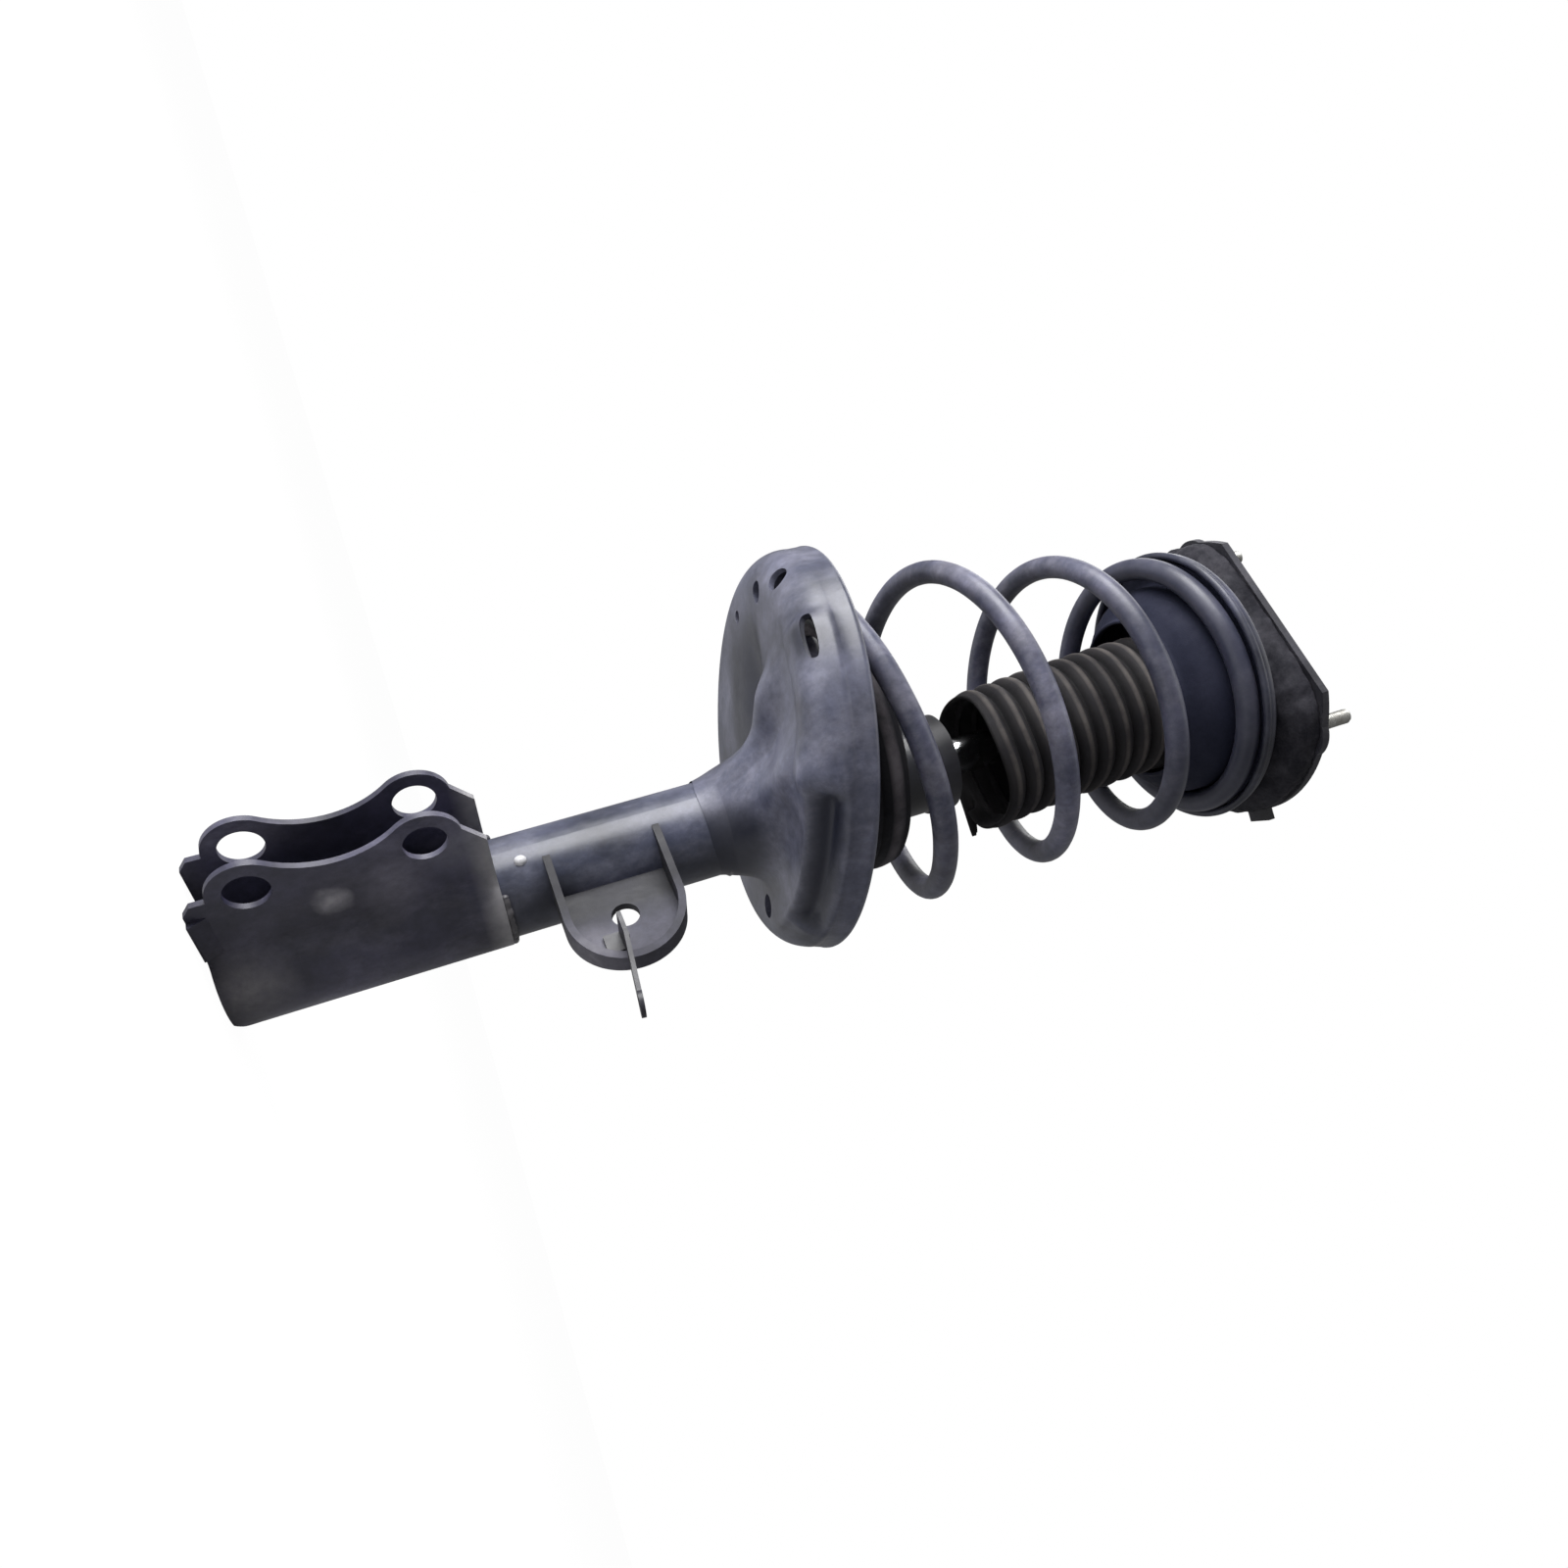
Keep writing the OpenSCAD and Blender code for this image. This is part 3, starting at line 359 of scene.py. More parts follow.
def tube_places(tree, coords, base):
    """Painted shade: the tube is darkened above the pan, where the pan and spring shade it, and under the pan's
    collar; it is also darker beside the bracket's weld.
    """
    z = axis_value(tree, coords, "Z")
    # painted shade above the pan, where the pan and the spring shade the tube
    base = scaled(tree, base, ramp(tree, span(tree, z, -0.300, -0.285), [(0.0, 1.0), (1.0, 0.16)]))
    # painted shade under the pan's collar
    base = mix(tree, spot(tree, coords, (-0.0085, 0.0235, -0.302), 0.040), base, (0.014, 0.016, 0.026))
    return mix(tree, spot(tree, coords, (0.010, 0.022, -0.398), 0.016), base, (0.012, 0.013, 0.022))


def bracket_places(tree, coords, base):
    """Rubbed patches on one cheek, a pale band beside the weld and a pale patch along the lower bend."""
    for centre, size, colour in (((0.0401, 0.0145, -0.4863), 0.0095, (0.60, 0.58, 0.62)),
                                 ((0.039, 0.0145, -0.4600), 0.018, (0.22, 0.21, 0.27)),
                                 ((0.010, 0.026, -0.530), 0.024, (0.22, 0.21, 0.22)),
                                 ((0.050, 0.0145, -0.430), 0.020, (0.16, 0.16, 0.20))):
        rubbed = scaled(tree, spot(tree, coords, centre, size), noise(tree, coords, 150))
        base = mix(tree, rubbed, base, colour)
    z = axis_value(tree, coords, "Z")
    band = scaled(tree, span(tree, z, -0.429, -0.4195), noise(tree, coords, 70))
    return mix(tree, band, base, (0.42, 0.41, 0.42))


def link_places(tree, coords, base):
    """The tab gets painted shade in the corner under the tube and a painted highlight along its round end."""
    y = axis_value(tree, coords, "Y")
    # painted shade towards the tube, which shades this corner
    base = scaled(tree, base, ramp(tree, span(tree, y, 0.036, 0.052), [(0.0, 0.25), (1.0, 1.0)]))
    # painted highlight near the round end, which faces the key lamp
    lit_round_end = scaled(tree, spot(tree, coords, (0.010, 0.060, -0.385), 0.02), noise(tree, coords, 170))
    return mix(tree, lit_round_end, base, (0.22, 0.21, 0.24))


def pan_places(tree, coords, base):
    """The tone stored on the pan's points paints shade into its hollows and a highlight onto its ridges."""
    tone = point_value(tree, "tone")
    base = scaled(tree, base, ramp(tree, tone, [(0.0, 0.3), (0.5, 0.92), (1.0, 1.5)]))
    return mix(tree, ramp(tree, tone, [(0.0, 0.88), (0.45, 0.0)]), base, (0.010, 0.012, 0.026))


def coil_places(tree, coords, base):
    """The wire is darker and bluer towards the top."""
    z = axis_value(tree, coords, "Z")
    top = span(tree, z, -0.110, -0.075)
    return mix(tree, ramp(tree, top, [(0.0, 0.0), (1.0, 0.72)]), base, (0.022, 0.024, 0.044))


tube_paint = old_paint("tube_paint", (0.030, 0.034, 0.056), (0.066, 0.070, 0.104), (0.22, 0.22, 0.26), 0.45,
                       (0.28, 0.5), places=tube_places)
# Nearly black: the gland cap's own dark paint with painted shade added, as it sits inside the coil; the lead
# bracket shares it.
cap_paint = old_paint("cap_paint", (0.008, 0.008, 0.012), (0.018, 0.018, 0.026), (0.07, 0.07, 0.08), 0.3)
seat_paint = old_paint("seat_paint", (0.016, 0.018, 0.034), (0.036, 0.038, 0.064), (0.12, 0.12, 0.15), 0.4)
bracket_paint = old_paint("bracket_paint", (0.020, 0.020, 0.040), (0.052, 0.050, 0.088), (0.20, 0.19, 0.24), 0.5,
                          (0.36, 0.62), 0.7, 0.5, bracket_places)
link_paint = old_paint("link_paint", (0.020, 0.021, 0.036), (0.045, 0.045, 0.068), (0.155, 0.148, 0.178), 0.5,
                       (0.56, 0.82), 0.8, 0.6, link_places)
pan_paint = old_paint("pan_paint", (0.048, 0.052, 0.082), (0.098, 0.102, 0.145), (0.25, 0.245, 0.30), 0.5,
                      (0.3, 0.52), places=pan_places)
coil_paint = old_paint("coil_paint", (0.046, 0.049, 0.080), (0.112, 0.113, 0.165), (0.29, 0.28, 0.33), 0.55,
                       (0.34, 0.58), 0.6, 0.6, coil_places)
mount_paint = old_paint("mount_paint", (0.010, 0.010, 0.015), (0.026, 0.026, 0.036), (0.085, 0.080, 0.092), 0.55,
                        (0.5, 0.8), 1.0, 0.8)
weld_paint = old_paint("weld_paint", (0.06, 0.06, 0.07), (0.13, 0.125, 0.14), (0.30, 0.28, 0.29), 0.6,
                       (0.35, 0.6), 0.9)
tack_paint = old_paint("tack_paint", (0.45, 0.45, 0.47), (0.62, 0.62, 0.64), (0.7, 0.7, 0.7), 0.5,
                       (0.25, 0.4), 0.9)
print("ten paints")

# %% [markdown]
# Rubber is matt. The boot is brownish with road dust, most of it on the crests of its ribs, and each
# point of a ribbed piece stores how near it is to a crest. Painted shade darkens the valleys between
# the ribs, and the sleeve's pale crests are a painted highlight. The mount's body is mottled with age.


# %% Rubber
def old_rubber(name, dark, dust, dusty=0.5, lump=0.3, grain=140, crest=None):
    """Matt rubber: dust in soft patches, a fine grain, and lumps; a crest colour shows where ribs stand out, and
    painted shade darkens the valleys between them.
    """
    m, tree, shader, coords = material(name)
    film = noise(tree, coords, 35, 9, 0.7)
    fine = noise(tree, coords, grain, 8, 0.75)
    cover = ramp(tree, film, [(0.42, 0.0), (0.72, dusty)])
    base = mix(tree, cover, dark, dust)
    base = mix(tree, ramp(tree, fine, [(0.45, 0.0), (0.8, 0.5)]), base, tuple(0.45 * c for c in dark))
    if crest:
        # painted shade in the valleys between the ribs; the crest colour is dust on the boot and a painted
        # highlight on the sleeve
        rib_height = point_value(tree, "crest")
        base = mix(tree, ramp(tree, rib_height, [(0.1, 0.75), (0.7, 0.0)]), base, tuple(0.3 * c for c in dark))
        edge = ramp(tree, rib_height, [(0.80, 0.0), (0.99, 0.9)])
        base = mix(tree, scaled(tree, edge, ramp(tree, film, [(0.35, 0.15), (0.65, 0.85)])), base, crest)
    tree.links.new(base, shader.inputs["Base Color"])
    tree.links.new(ramp(tree, fine, [(0.3, 0.62), (0.7, 0.9)]), shader.inputs["Roughness"])
    shader.inputs["Specular IOR Level"].default_value = 0.22
    raise_by(tree, shader, (film, lump, 0.0012), (fine, 0.6, 0.0003))
    return m


boot_rubber = old_rubber("boot_rubber", (0.014, 0.013, 0.016), (0.066, 0.060, 0.058), 0.5, 0.25,
                         crest=(0.125, 0.112, 0.105))
# the sleeve's pale crest colour is a painted highlight on its ribs
sleeve_rubber = old_rubber("sleeve_rubber", (0.010, 0.010, 0.014), (0.040, 0.038, 0.044), 0.4, 0.2,
                           crest=(0.22, 0.20, 0.22))
pad_rubber = old_rubber("pad_rubber", (0.014, 0.016, 0.034), (0.046, 0.048, 0.078), 0.4, 0.2)
mount_rubber_skin = old_rubber("mount_rubber_skin", (0.008, 0.008, 0.013), (0.075, 0.072, 0.086), 0.7, 1.0, 90)
foam = old_rubber("foam", (0.30, 0.25, 0.11), (0.42, 0.36, 0.20), 0.5, 0.2, 320)
print("five rubbers")

# %% [markdown]
# Bare metal and moulded plastic are hidden inside the damper and the bearing, or show only at the rod and
# the studs. The last lines of the cell give every solid of the frame its finish.


# %% Bare metals and plastics
def bare_metal(name, colour, rough=(0.2, 0.4), stretch=(1, 1, 1), scale=60, bump=0.1, stain=None):
    """Bare metal with uneven gloss; stain is a duller colour that comes through in patches."""
    m, tree, shader, coords = material(name)
    grain = noise(tree, coords, scale, 8, 0.65, stretch)
    base = mix(tree, ramp(tree, grain, [(0.45, 0.0), (0.75, 1.0)]), colour, stain or tuple(0.8 * c for c in colour))
    tree.links.new(base, shader.inputs["Base Color"])
    tree.links.new(ramp(tree, grain, [(0.3, rough[0]), (0.7, rough[1])]), shader.inputs["Roughness"])
    shader.inputs["Metallic"].default_value = 1.0
    raise_by(tree, shader, (grain, bump, 0.0002))
    return m


def plain_plastic(name, colour):
    """Moulded plastic with a fine spark grain."""
    m, tree, shader, coords = material(name)
    grain = noise(tree, coords, 400, 3)
    base = mix(tree, ramp(tree, grain, [(0.4, 0.0), (0.6, 1.0)]), colour, tuple(0.85 * c for c in colour))
    tree.links.new(base, shader.inputs["Base Color"])
    shader.inputs["Roughness"].default_value = 0.5
    raise_by(tree, shader, (grain, 0.2, 0.0001))
    return m


chrome = bare_metal("chrome", (0.80, 0.81, 0.84), (0.06, 0.16), (1, 1, 0.1), 180, 0.02)
machined = bare_metal("machined", (0.50, 0.50, 0.52), (0.25, 0.45), (1, 1, 6), 120)
zinc = bare_metal("zinc", (0.42, 0.42, 0.40), (0.35, 0.6), stain=(0.17, 0.15, 0.13))
sintered = bare_metal("sintered", (0.24, 0.24, 0.25), (0.45, 0.7), scale=300, bump=0.4)
bronze = bare_metal("bronze", (0.50, 0.36, 0.18), (0.25, 0.4))
alloy = bare_metal("alloy", (0.60, 0.60, 0.61), (0.35, 0.55), scale=200)
nylon = plain_plastic("nylon", (0.60, 0.56, 0.45))
low_friction = plain_plastic("low_friction", (0.16, 0.20, 0.24))

finish_of = {
    tube_paint: ["strut_tube", "base_cup"],
    cap_paint: ["gland_cap", "lead_bracket"],
    seat_paint: ["upper_spring_seat"],
    bracket_paint: ["knuckle_bracket"],
    link_paint: ["link_bracket"],
    pan_paint: ["lower_spring_seat"],
    weld_paint: ["bracket_weld", "seat_weld"],
    mount_paint: ["mount_plate", "mount_cup"],
    chrome: ["piston_rod"],
    machined: ["pressure_tube", "valve_shims", "piston_nut", "bump_cup", "bearing_lower_race", "bearing_upper_race",
               "bearing_balls", "mount_sleeve"],
    zinc: ["mount_studs", "rod_washer", "rod_nut"],
    sintered: ["base_valve", "piston"],
    bronze: ["guide_bush"],
    alloy: ["rod_guide"],
    nylon: ["bearing_cage", "rebound_stop"],
    low_friction: ["piston_band"],
    pad_rubber: ["rod_seal", "bearing_seal", "lower_spring_pad", "upper_spring_pad", "mount_rubber"],
    foam: ["bump_stop"],
    boot_rubber: ["dust_boot"],
    coil_paint: ["coil_spring"],
}
for finish, names in finish_of.items():
    for name in names:
        nodes[name].data.materials.clear()
        nodes[name].data.materials.append(finish)
print(sum(len(v) for v in finish_of.values()), "solids have their finish")


# %% [markdown]
# ## The spring
# The wire is one round bar wound into a side-load coil: its centre leans to one side at the bottom and
# the turns get narrower upwards. The centre line is a formula of the number of turns, and a circle of
# points is carried along it, square to its run.


# %% Spring
pad_gap, coil_lean, end_lift = 0.0003, 0.05, 0.004
climb_early, climb_bend, kick_high = 0.34, 0.16, 0.007
cut_out, cut_share = 0.0006, 0.88


def coil_line(t):
    """Centre of the wire after t turns; 0 is where it leaves the pan. Local X points to the pan's high side."""
    k = np.clip(t / turns_free, -0.1, 1)
    share = np.clip(t / turns_free, 0, 1)
    radius = coil_r_low + (coil_r_top - coil_r_low) * share - coil_draw_in * np.maximum(0, -t) / turns_low
    offset = coil_off_low + (coil_off_top - coil_off_low) * share
    x = offset + radius * np.cos(2 * np.pi * t)
    y = radius * np.sin(2 * np.pi * t)
    rise, lift = math.tan(seat_tilt), (pad_t + pad_gap + wire_d / 2) / math.cos(seat_tilt)
    top = strut_h + seat_under - pad_t - wire_d / 2
    start = seat_h + lift + (rise - coil_lean) * (coil_off_low + coil_r_low) + end_lift
    bend = climb_early - climb_bend * (1 - 2 * k)
    climb = start + (top - start) * (k + k * (1 - k) * bend) + coil_lean * x
    climb = climb + kick_high * (ease((t - 0.12) / 0.25) - ease((t - 0.5) / 0.4))
    leave, meet = ease((t + 0.2) / 0.4), ease((t - turns_free + 0.2) / 0.4)
    low = (seat_h + lift + rise * x) * (1 - leave) + climb * leave
    return np.stack([x, y, low * (1 - meet) + top * meet - strut_h], -1)


def swept(line, radius, sides):
    """Rings of points about a line, square to it, with the two ends drawn in to a flat cut."""
    along = np.gradient(line, axis=0)
    along /= np.linalg.norm(along, axis=1)[:, None]
    side = np.cross(along, [0, 0, 1])
    side /= np.linalg.norm(side, axis=1)[:, None]
    rise = np.cross(side, along)
    a = circle(sides)
    ring = np.cos(a)[None, :, None] * side[:, None] + np.sin(a)[None, :, None] * rise[:, None]
    grid = line[:, None] + radius * ring
    first = [line[0] + f * radius * ring[0] - cut_out * along[0] for f in (0, cut_share)]
    last = [line[-1] + f * radius * ring[-1] + cut_out * along[-1] for f in (cut_share, 0)]
    return np.concatenate([first, grid, last])


turns = np.linspace(-turns_low, turns_free + turns_top, 1000)
wire = swept(coil_line(turns), wire_d / 2, 24)
spring = close_up(surface("spring_wire", turned(wire, seat_az), wrap_columns=True), coil_paint)
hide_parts("coil_spring")
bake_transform(spring)
print("spring:", len(spring.data.vertices), "points")


# %% [markdown]
# ## The dust boot
# A moulded rubber bellows. Its wall is one closed line: down the outside over rounded ribs with sharp
# valleys between them, round the thick lower lip, and back up the inside. The line is turned about the
# axis, and the open end sags to one side, where the torn lip hangs lower still.


# %% Boot
lip_r, boot_lump, boot_sag, boot_wave = boot_r - 0.0012, 0.00035, 0.006, 0.0015
torn_turn, torn_wide, torn_out = 0.95, 0.11, 0.019


def boot_outside(d):
    """Outer radius at a depth: a plain collar, then ribs as a power of the absolute value of a sine."""
    pitch = (boot_len - collar_len) / boot_ribs
    phase = np.pi * (d - collar_len) / pitch
    ribs = boot_r - boot_rib * (1 - np.abs(np.sin(phase)) ** 0.8)
    return np.where(d < collar_len - 0.002, boot_r - 0.0006, ribs)


depth = np.linspace(0, boot_len - 0.0016, 300)
outer = boot_outside(depth)
outer[-8:] = np.linspace(outer[-8], lip_r, 8)
lip = np.array([[lip_r, boot_len - 0.0006], [boot_r - 0.002, boot_len], [boot_r - 0.003, boot_len - 0.0006]])
inside = np.stack([outer - boot_wall, depth], -1)[::-1]
inside[:, 0] = np.minimum(inside[:, 0], boot_r - 0.0034)
wall = np.concatenate([np.stack([outer, depth], -1), lip, inside])
angle = circle(180)
r, d = wall[:, :1], wall[:, 1:]
a = angle[None, :]
lumps = waves(r * np.cos(a), r * np.sin(a), d, 3, 0.05)
r = r + boot_lump * lumps
strip = np.exp(-((a - np.pi - torn_turn) / torn_wide) ** 2)
torn = torn_out * strip * ease((d - boot_len + 0.007) / 0.004)
x = r * np.cos(a) - boot_sag * (d / boot_len) ** 2 - torn
z = seat_under - d + boot_wave * ease(d / boot_len * 3) * np.sin(3 * a + 1) * (d / boot_len)
boot = surface("boot_bellows", turned(np.stack([x, r * np.sin(a) + 0 * d, z], -1), seat_az), True, True)
high = np.clip((wall[:, 0] - boot_r + boot_rib) / boot_rib, 0, 1) ** 2
high[len(depth):] = 0.15
store(boot, "crest", np.repeat(high, len(angle)))
close_up(boot, boot_rubber)
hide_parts("dust_boot")
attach(boot, "upper_seat")
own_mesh(boot)
print("boot:", len(boot.data.vertices), "points")


# %% [markdown]
# ## Turned rubber pieces
# The bump stop, the two spring pads and the bearing's lip are rings of soft material. Each is a closed
# outline of radius and height with rounded corners, carried round the axis, with slight lumps so that
# the light breaks on it as on real rubber.


# %% Rounded rings
def rounded(outline, radius, steps=6):
    """A closed outline with each corner cut back by a quadratic curve."""
    p = np.array(outline, float)
    before, after = np.roll(p, 1, 0), np.roll(p, -1, 0)
    to_a, to_b = before - p, after - p
    la, lb = np.linalg.norm(to_a, axis=1)[:, None], np.linalg.norm(to_b, axis=1)[:, None]
    cut = np.minimum(radius, 0.45 * np.minimum(la, lb))
    a, b = p + to_a / la * cut, p + to_b / lb * cut
    s = np.linspace(0, 1, steps)[None, :, None]
    return (a[:, None] * (1 - s) ** 2 + 2 * p[:, None] * s * (1 - s) + b[:, None] * s ** 2).reshape(-1, 2)


def dense(outline, step):
    """More points on a closed outline, so that no side is longer than a step."""
    after = np.roll(outline, -1, 0)
    parts = [p + (q - p) * np.linspace(0, 1, max(1, int(np.linalg.norm(q - p) / step)), endpoint=False)[:, None]
             for p, q in zip(outline, after)]
    return np.concatenate(parts)


def ring_piece(name, finish, outline, columns, lump, seed, shape=None):
    """A closed outline of (radius, z) carried round the axis with slight lumps; shape(points) moves it."""
    a = circle(columns)[None, :]
    r, z = outline[:, :1], outline[:, 1:]
    swell = lump * waves(r * np.cos(a), r * np.sin(a), z, seed, 0.03)
    p = around_z(r + swell, a, z)
    return close_up(surface(name, shape(p) if shape else p, True, True), finish)


bump_top, bump_len, bump_r, bump_tip = seat_under - 0.003, 0.058, 0.023, 0.008
bump_bore, tip_r, bump_taper, bump_groove = 0.0105, 0.014, 0.002, 0.004
cell = (bump_len - bump_tip) / 3
line = [(bump_bore, bump_top), (bump_r, bump_top)]
for k in range(3):
    cell_r = bump_r - bump_taper * k
    line += [(cell_r, bump_top - cell * (k + 0.15)), (cell_r, bump_top - cell * (k + 0.75)),
             (bump_r - bump_groove - bump_taper * k, bump_top - cell * (k + 1))]
line += [(tip_r, bump_top - bump_len), (bump_bore, bump_top - bump_len)]
bump = ring_piece("bump_foam", foam, dense(rounded(line, 0.003), 0.002), 72, 0.0001, 4)
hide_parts("bump_stop")
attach(bump, "upper_seat")
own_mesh(bump)
print("bump stop:", len(bump.data.vertices), "points")

# %% [markdown]
# The lower pad is a flat ring on the pan's floor. It is drawn level, then tilted and moved with the pan.


# %% Lower pad
def on_pan(p):
    """Points given on the pan's floor, put where the pan is: moved off the axis, tilted and turned."""
    c, s = math.cos(seat_tilt), math.sin(seat_tilt)
    x = p[..., 0] + seat_offset / c
    q = np.stack([x * c - p[..., 2] * s, p[..., 1], x * s + p[..., 2] * c + seat_h - strut_h], -1)
    return turned(q, seat_az)


pad_hole_r, pad_edge_r, pad_clear = 0.061, seat_r - seat_corner - 0.0003, 0.0002
low_line = [(pad_hole_r, pad_clear), (pad_edge_r, pad_clear), (pad_edge_r, pad_t), (pad_hole_r, pad_t)]
low_pad = ring_piece("lower_pad_rubber", pad_rubber, dense(rounded(low_line, 0.0009), 0.002), 160, 0.00005, 5,
                     on_pan)
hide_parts("lower_spring_pad")
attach(low_pad, "strut")
print("lower pad:", len(low_pad.data.vertices), "points")

# %% [markdown]
# A ribbed rubber sleeve stands on that ring, inside the coil. Its ribs are rings square to the strut's
# axis while its foot follows the tilted pan, so each column of points starts at its own height.

# %% Ribbed sleeve
sleeve_r, sleeve_top, sleeve_foot, sleeve_ribs = 0.0685, 0.311, 0.235, 5
sleeve_rib, sleeve_lip, sleeve_wall, sleeve_lump = 0.0022, 0.0014, 0.0028, 0.0003
up_share = np.linspace(0, 1, 160)[:, None]
a = circle(160)[None, :]
foot = seat_h + math.tan(seat_tilt) * (coil_off_low + sleeve_r * np.cos(a)) + 0.0015
height = foot + (sleeve_top - foot) * up_share
rib = 1 - np.abs(np.sin(np.pi * sleeve_ribs * (height - sleeve_foot) / (sleeve_top - sleeve_foot))) ** 0.7
skin_r = sleeve_r - sleeve_rib * rib - sleeve_lip * ease((height - sleeve_top + 0.0015) / 0.0015)
skin_r = skin_r + sleeve_lump * waves(skin_r * np.cos(a), skin_r * np.sin(a), height, 21, 0.04)
both_r = np.concatenate([skin_r, skin_r[::-1] - sleeve_wall])
both_z = np.concatenate([height, height[::-1]])
sleeve = around_z(both_r, a, both_z - strut_h) + [coil_off_low, 0, 0]
sleeve = surface("lower_pad_sleeve", turned(sleeve, seat_az), True, True)
store(sleeve, "crest", np.concatenate([1 - rib, 0 * rib]).ravel())
close_up(sleeve, sleeve_rubber)
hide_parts("lower_spring_pad")
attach(sleeve, "strut")
print("sleeve:", len(sleeve.data.vertices), "points")


# %% [markdown]
# The upper pad is a smooth bell. Its ring lies under the seat, and its skirt hangs inside the top turn
# of the spring and closes in round the boot. The bearing's lip is a thin ring above the seat.


# %% Upper pad and the bearing's lip
def on_top(p):
    """Points centred on the upper seat's dish, which stands off the axis to the spring's side."""
    return turned(p + [coil_off_top, 0, 0], seat_az)


bell_line = [(0.0545, 0.0001), (0.0698, 0.0001), (0.0698, 0.0029), (0.0582, 0.0033), (0.0582, 0.0165),
             (0.0535, 0.0240), (0.0450, 0.0300), (0.0440, 0.0328), (0.0424, 0.0328), (0.0430, 0.0285),
             (0.0547, 0.0156)]
bell_line = [(r, seat_under - down) for r, down in bell_line]
high_pad = ring_piece("upper_pad_bell", pad_rubber, dense(rounded(bell_line, 0.0035), 0.002), 160, 0.0002, 6,
                      on_top)
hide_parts("upper_spring_pad")
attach(high_pad, "upper_seat")

lip_line = [(0.049, seat_top + 0.0006), (0.0505, seat_top + 0.0004), (0.052, -0.0245), (0.0519, -0.0221),
            (0.0491, -0.0221), (0.049, -0.0245)]
seal = ring_piece("bearing_lip", pad_rubber, dense(rounded(lip_line, 0.0006), 0.0012), 120, 0.00002, 7)
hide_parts("bearing_seal")
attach(seal, "mount")
print("bell and lip:", len(high_pad.data.vertices) + len(seal.data.vertices), "points")

# %% [markdown]
# ## The rubber body of the mount
# The outside of the top mount is thick moulded rubber, pitted and swollen with age. It has one flat
# side between two studs, so its outer radius is the smaller of a circle and a straight line. Lumps of
# several sizes move the skin in and out, but never past the steel plate over it.


# %% Mount rubber
mount_r, mount_flat, flat_az = 0.078, 0.060, math.radians(17)
rubber_top, rubber_low, mount_lump = -0.004, -0.022, 0.0009
a = circle(300)[None, :]
outline = dense(rounded([(0.014, rubber_low + 0.003), (0.029, rubber_low + 0.003), (0.029, rubber_low + 0.006),
                         (0.047, rubber_low + 0.006), (0.047, rubber_low + 0.002), (0.0621, rubber_low + 0.002),
                         (0.0622, rubber_low + 0.001), (0.066, rubber_low + 0.001), (0.075, rubber_low + 0.007),
                         (mount_r, rubber_top - 0.006), (mount_r, rubber_top - 0.0002),
                         (0.028, rubber_top - 0.0002), (0.024, rubber_top - 0.006), (0.014, -0.0160)],
                        0.0012), 0.0014)
r, z = outline[:, :1], outline[:, 1:]
edge = mount_flat / np.maximum(np.cos(a - flat_az), 1e-3)
edge = np.where(np.cos(a - flat_az) > 0, edge, 1.0)
soft = 0.006
limit = -soft * np.log(np.exp(-mount_r / soft) + np.exp(-edge / soft))
scale = np.clip(limit / mount_r, 0, 1)
share = ease((r - 0.050) / 0.028)
r = r * (1 - share + share * scale)
bumpy = waves(r * np.cos(a), r * np.sin(a), z, 11, 0.022) + 0.6 * waves(r * np.cos(a), r * np.sin(a), z, 12, 0.008)
r = r - ease((r - 0.052) / 0.012) * mount_lump * (1.0 + bumpy)
rubber = close_up(surface("mount_body_rubber", around_z(r, a, z), True, True), mount_rubber_skin)
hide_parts("mount_rubber")
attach(rubber, "mount")
print("mount rubber:", len(rubber.data.vertices), "points")


# %% [markdown]
# ## The pressed pan
# The pan is one steel sheet. It flares out of the collar round the tube, stands out in two soft ridges
# that run from the tube to the corner, and its corner has a boss on one side and a sunk channel below
# it. A flat floor with bell-shaped hills on it gives all that as one height over x and y. Rows of points
# run from the tube to the corner, round it, up the wall, over the rolled rim and back inside.


# %% Shape of the sheet
def hill(x, centre, width):
    """Bell curve: e to the power of minus the square of the distance over the width."""
    return np.exp(-((x - centre) / width) ** 2)


def between(x, low, high, soft):
    """1 inside a range and 0 outside it, with soft ends."""
    return ease((x - low) / soft + 0.5) * ease((high - x) / soft + 0.5)


tube_x = seat_offset / math.cos(seat_tilt)
neck_r, neck_drop, floor_r = tube_r + seat_sheet, 0.023, seat_r - seat_corner
flare_least, flare_more, flare_side = 0.031, 0.030, 1.35
hollow_turn, hollow_deep, hollow_at, hollow_long, hollow_wide = math.radians(5), 0.0065, 0.060, 0.030, 0.015
boss_high, channel_deep, rib_high, edge_high = 0.0042, 0.0058, 0.0016, 0.0010
# Direction in degrees, length, height and half width of each ridge
ridges = ((40, 0.098, 0.0095, 0.0115), (77, 0.094, 0.0085, 0.015))


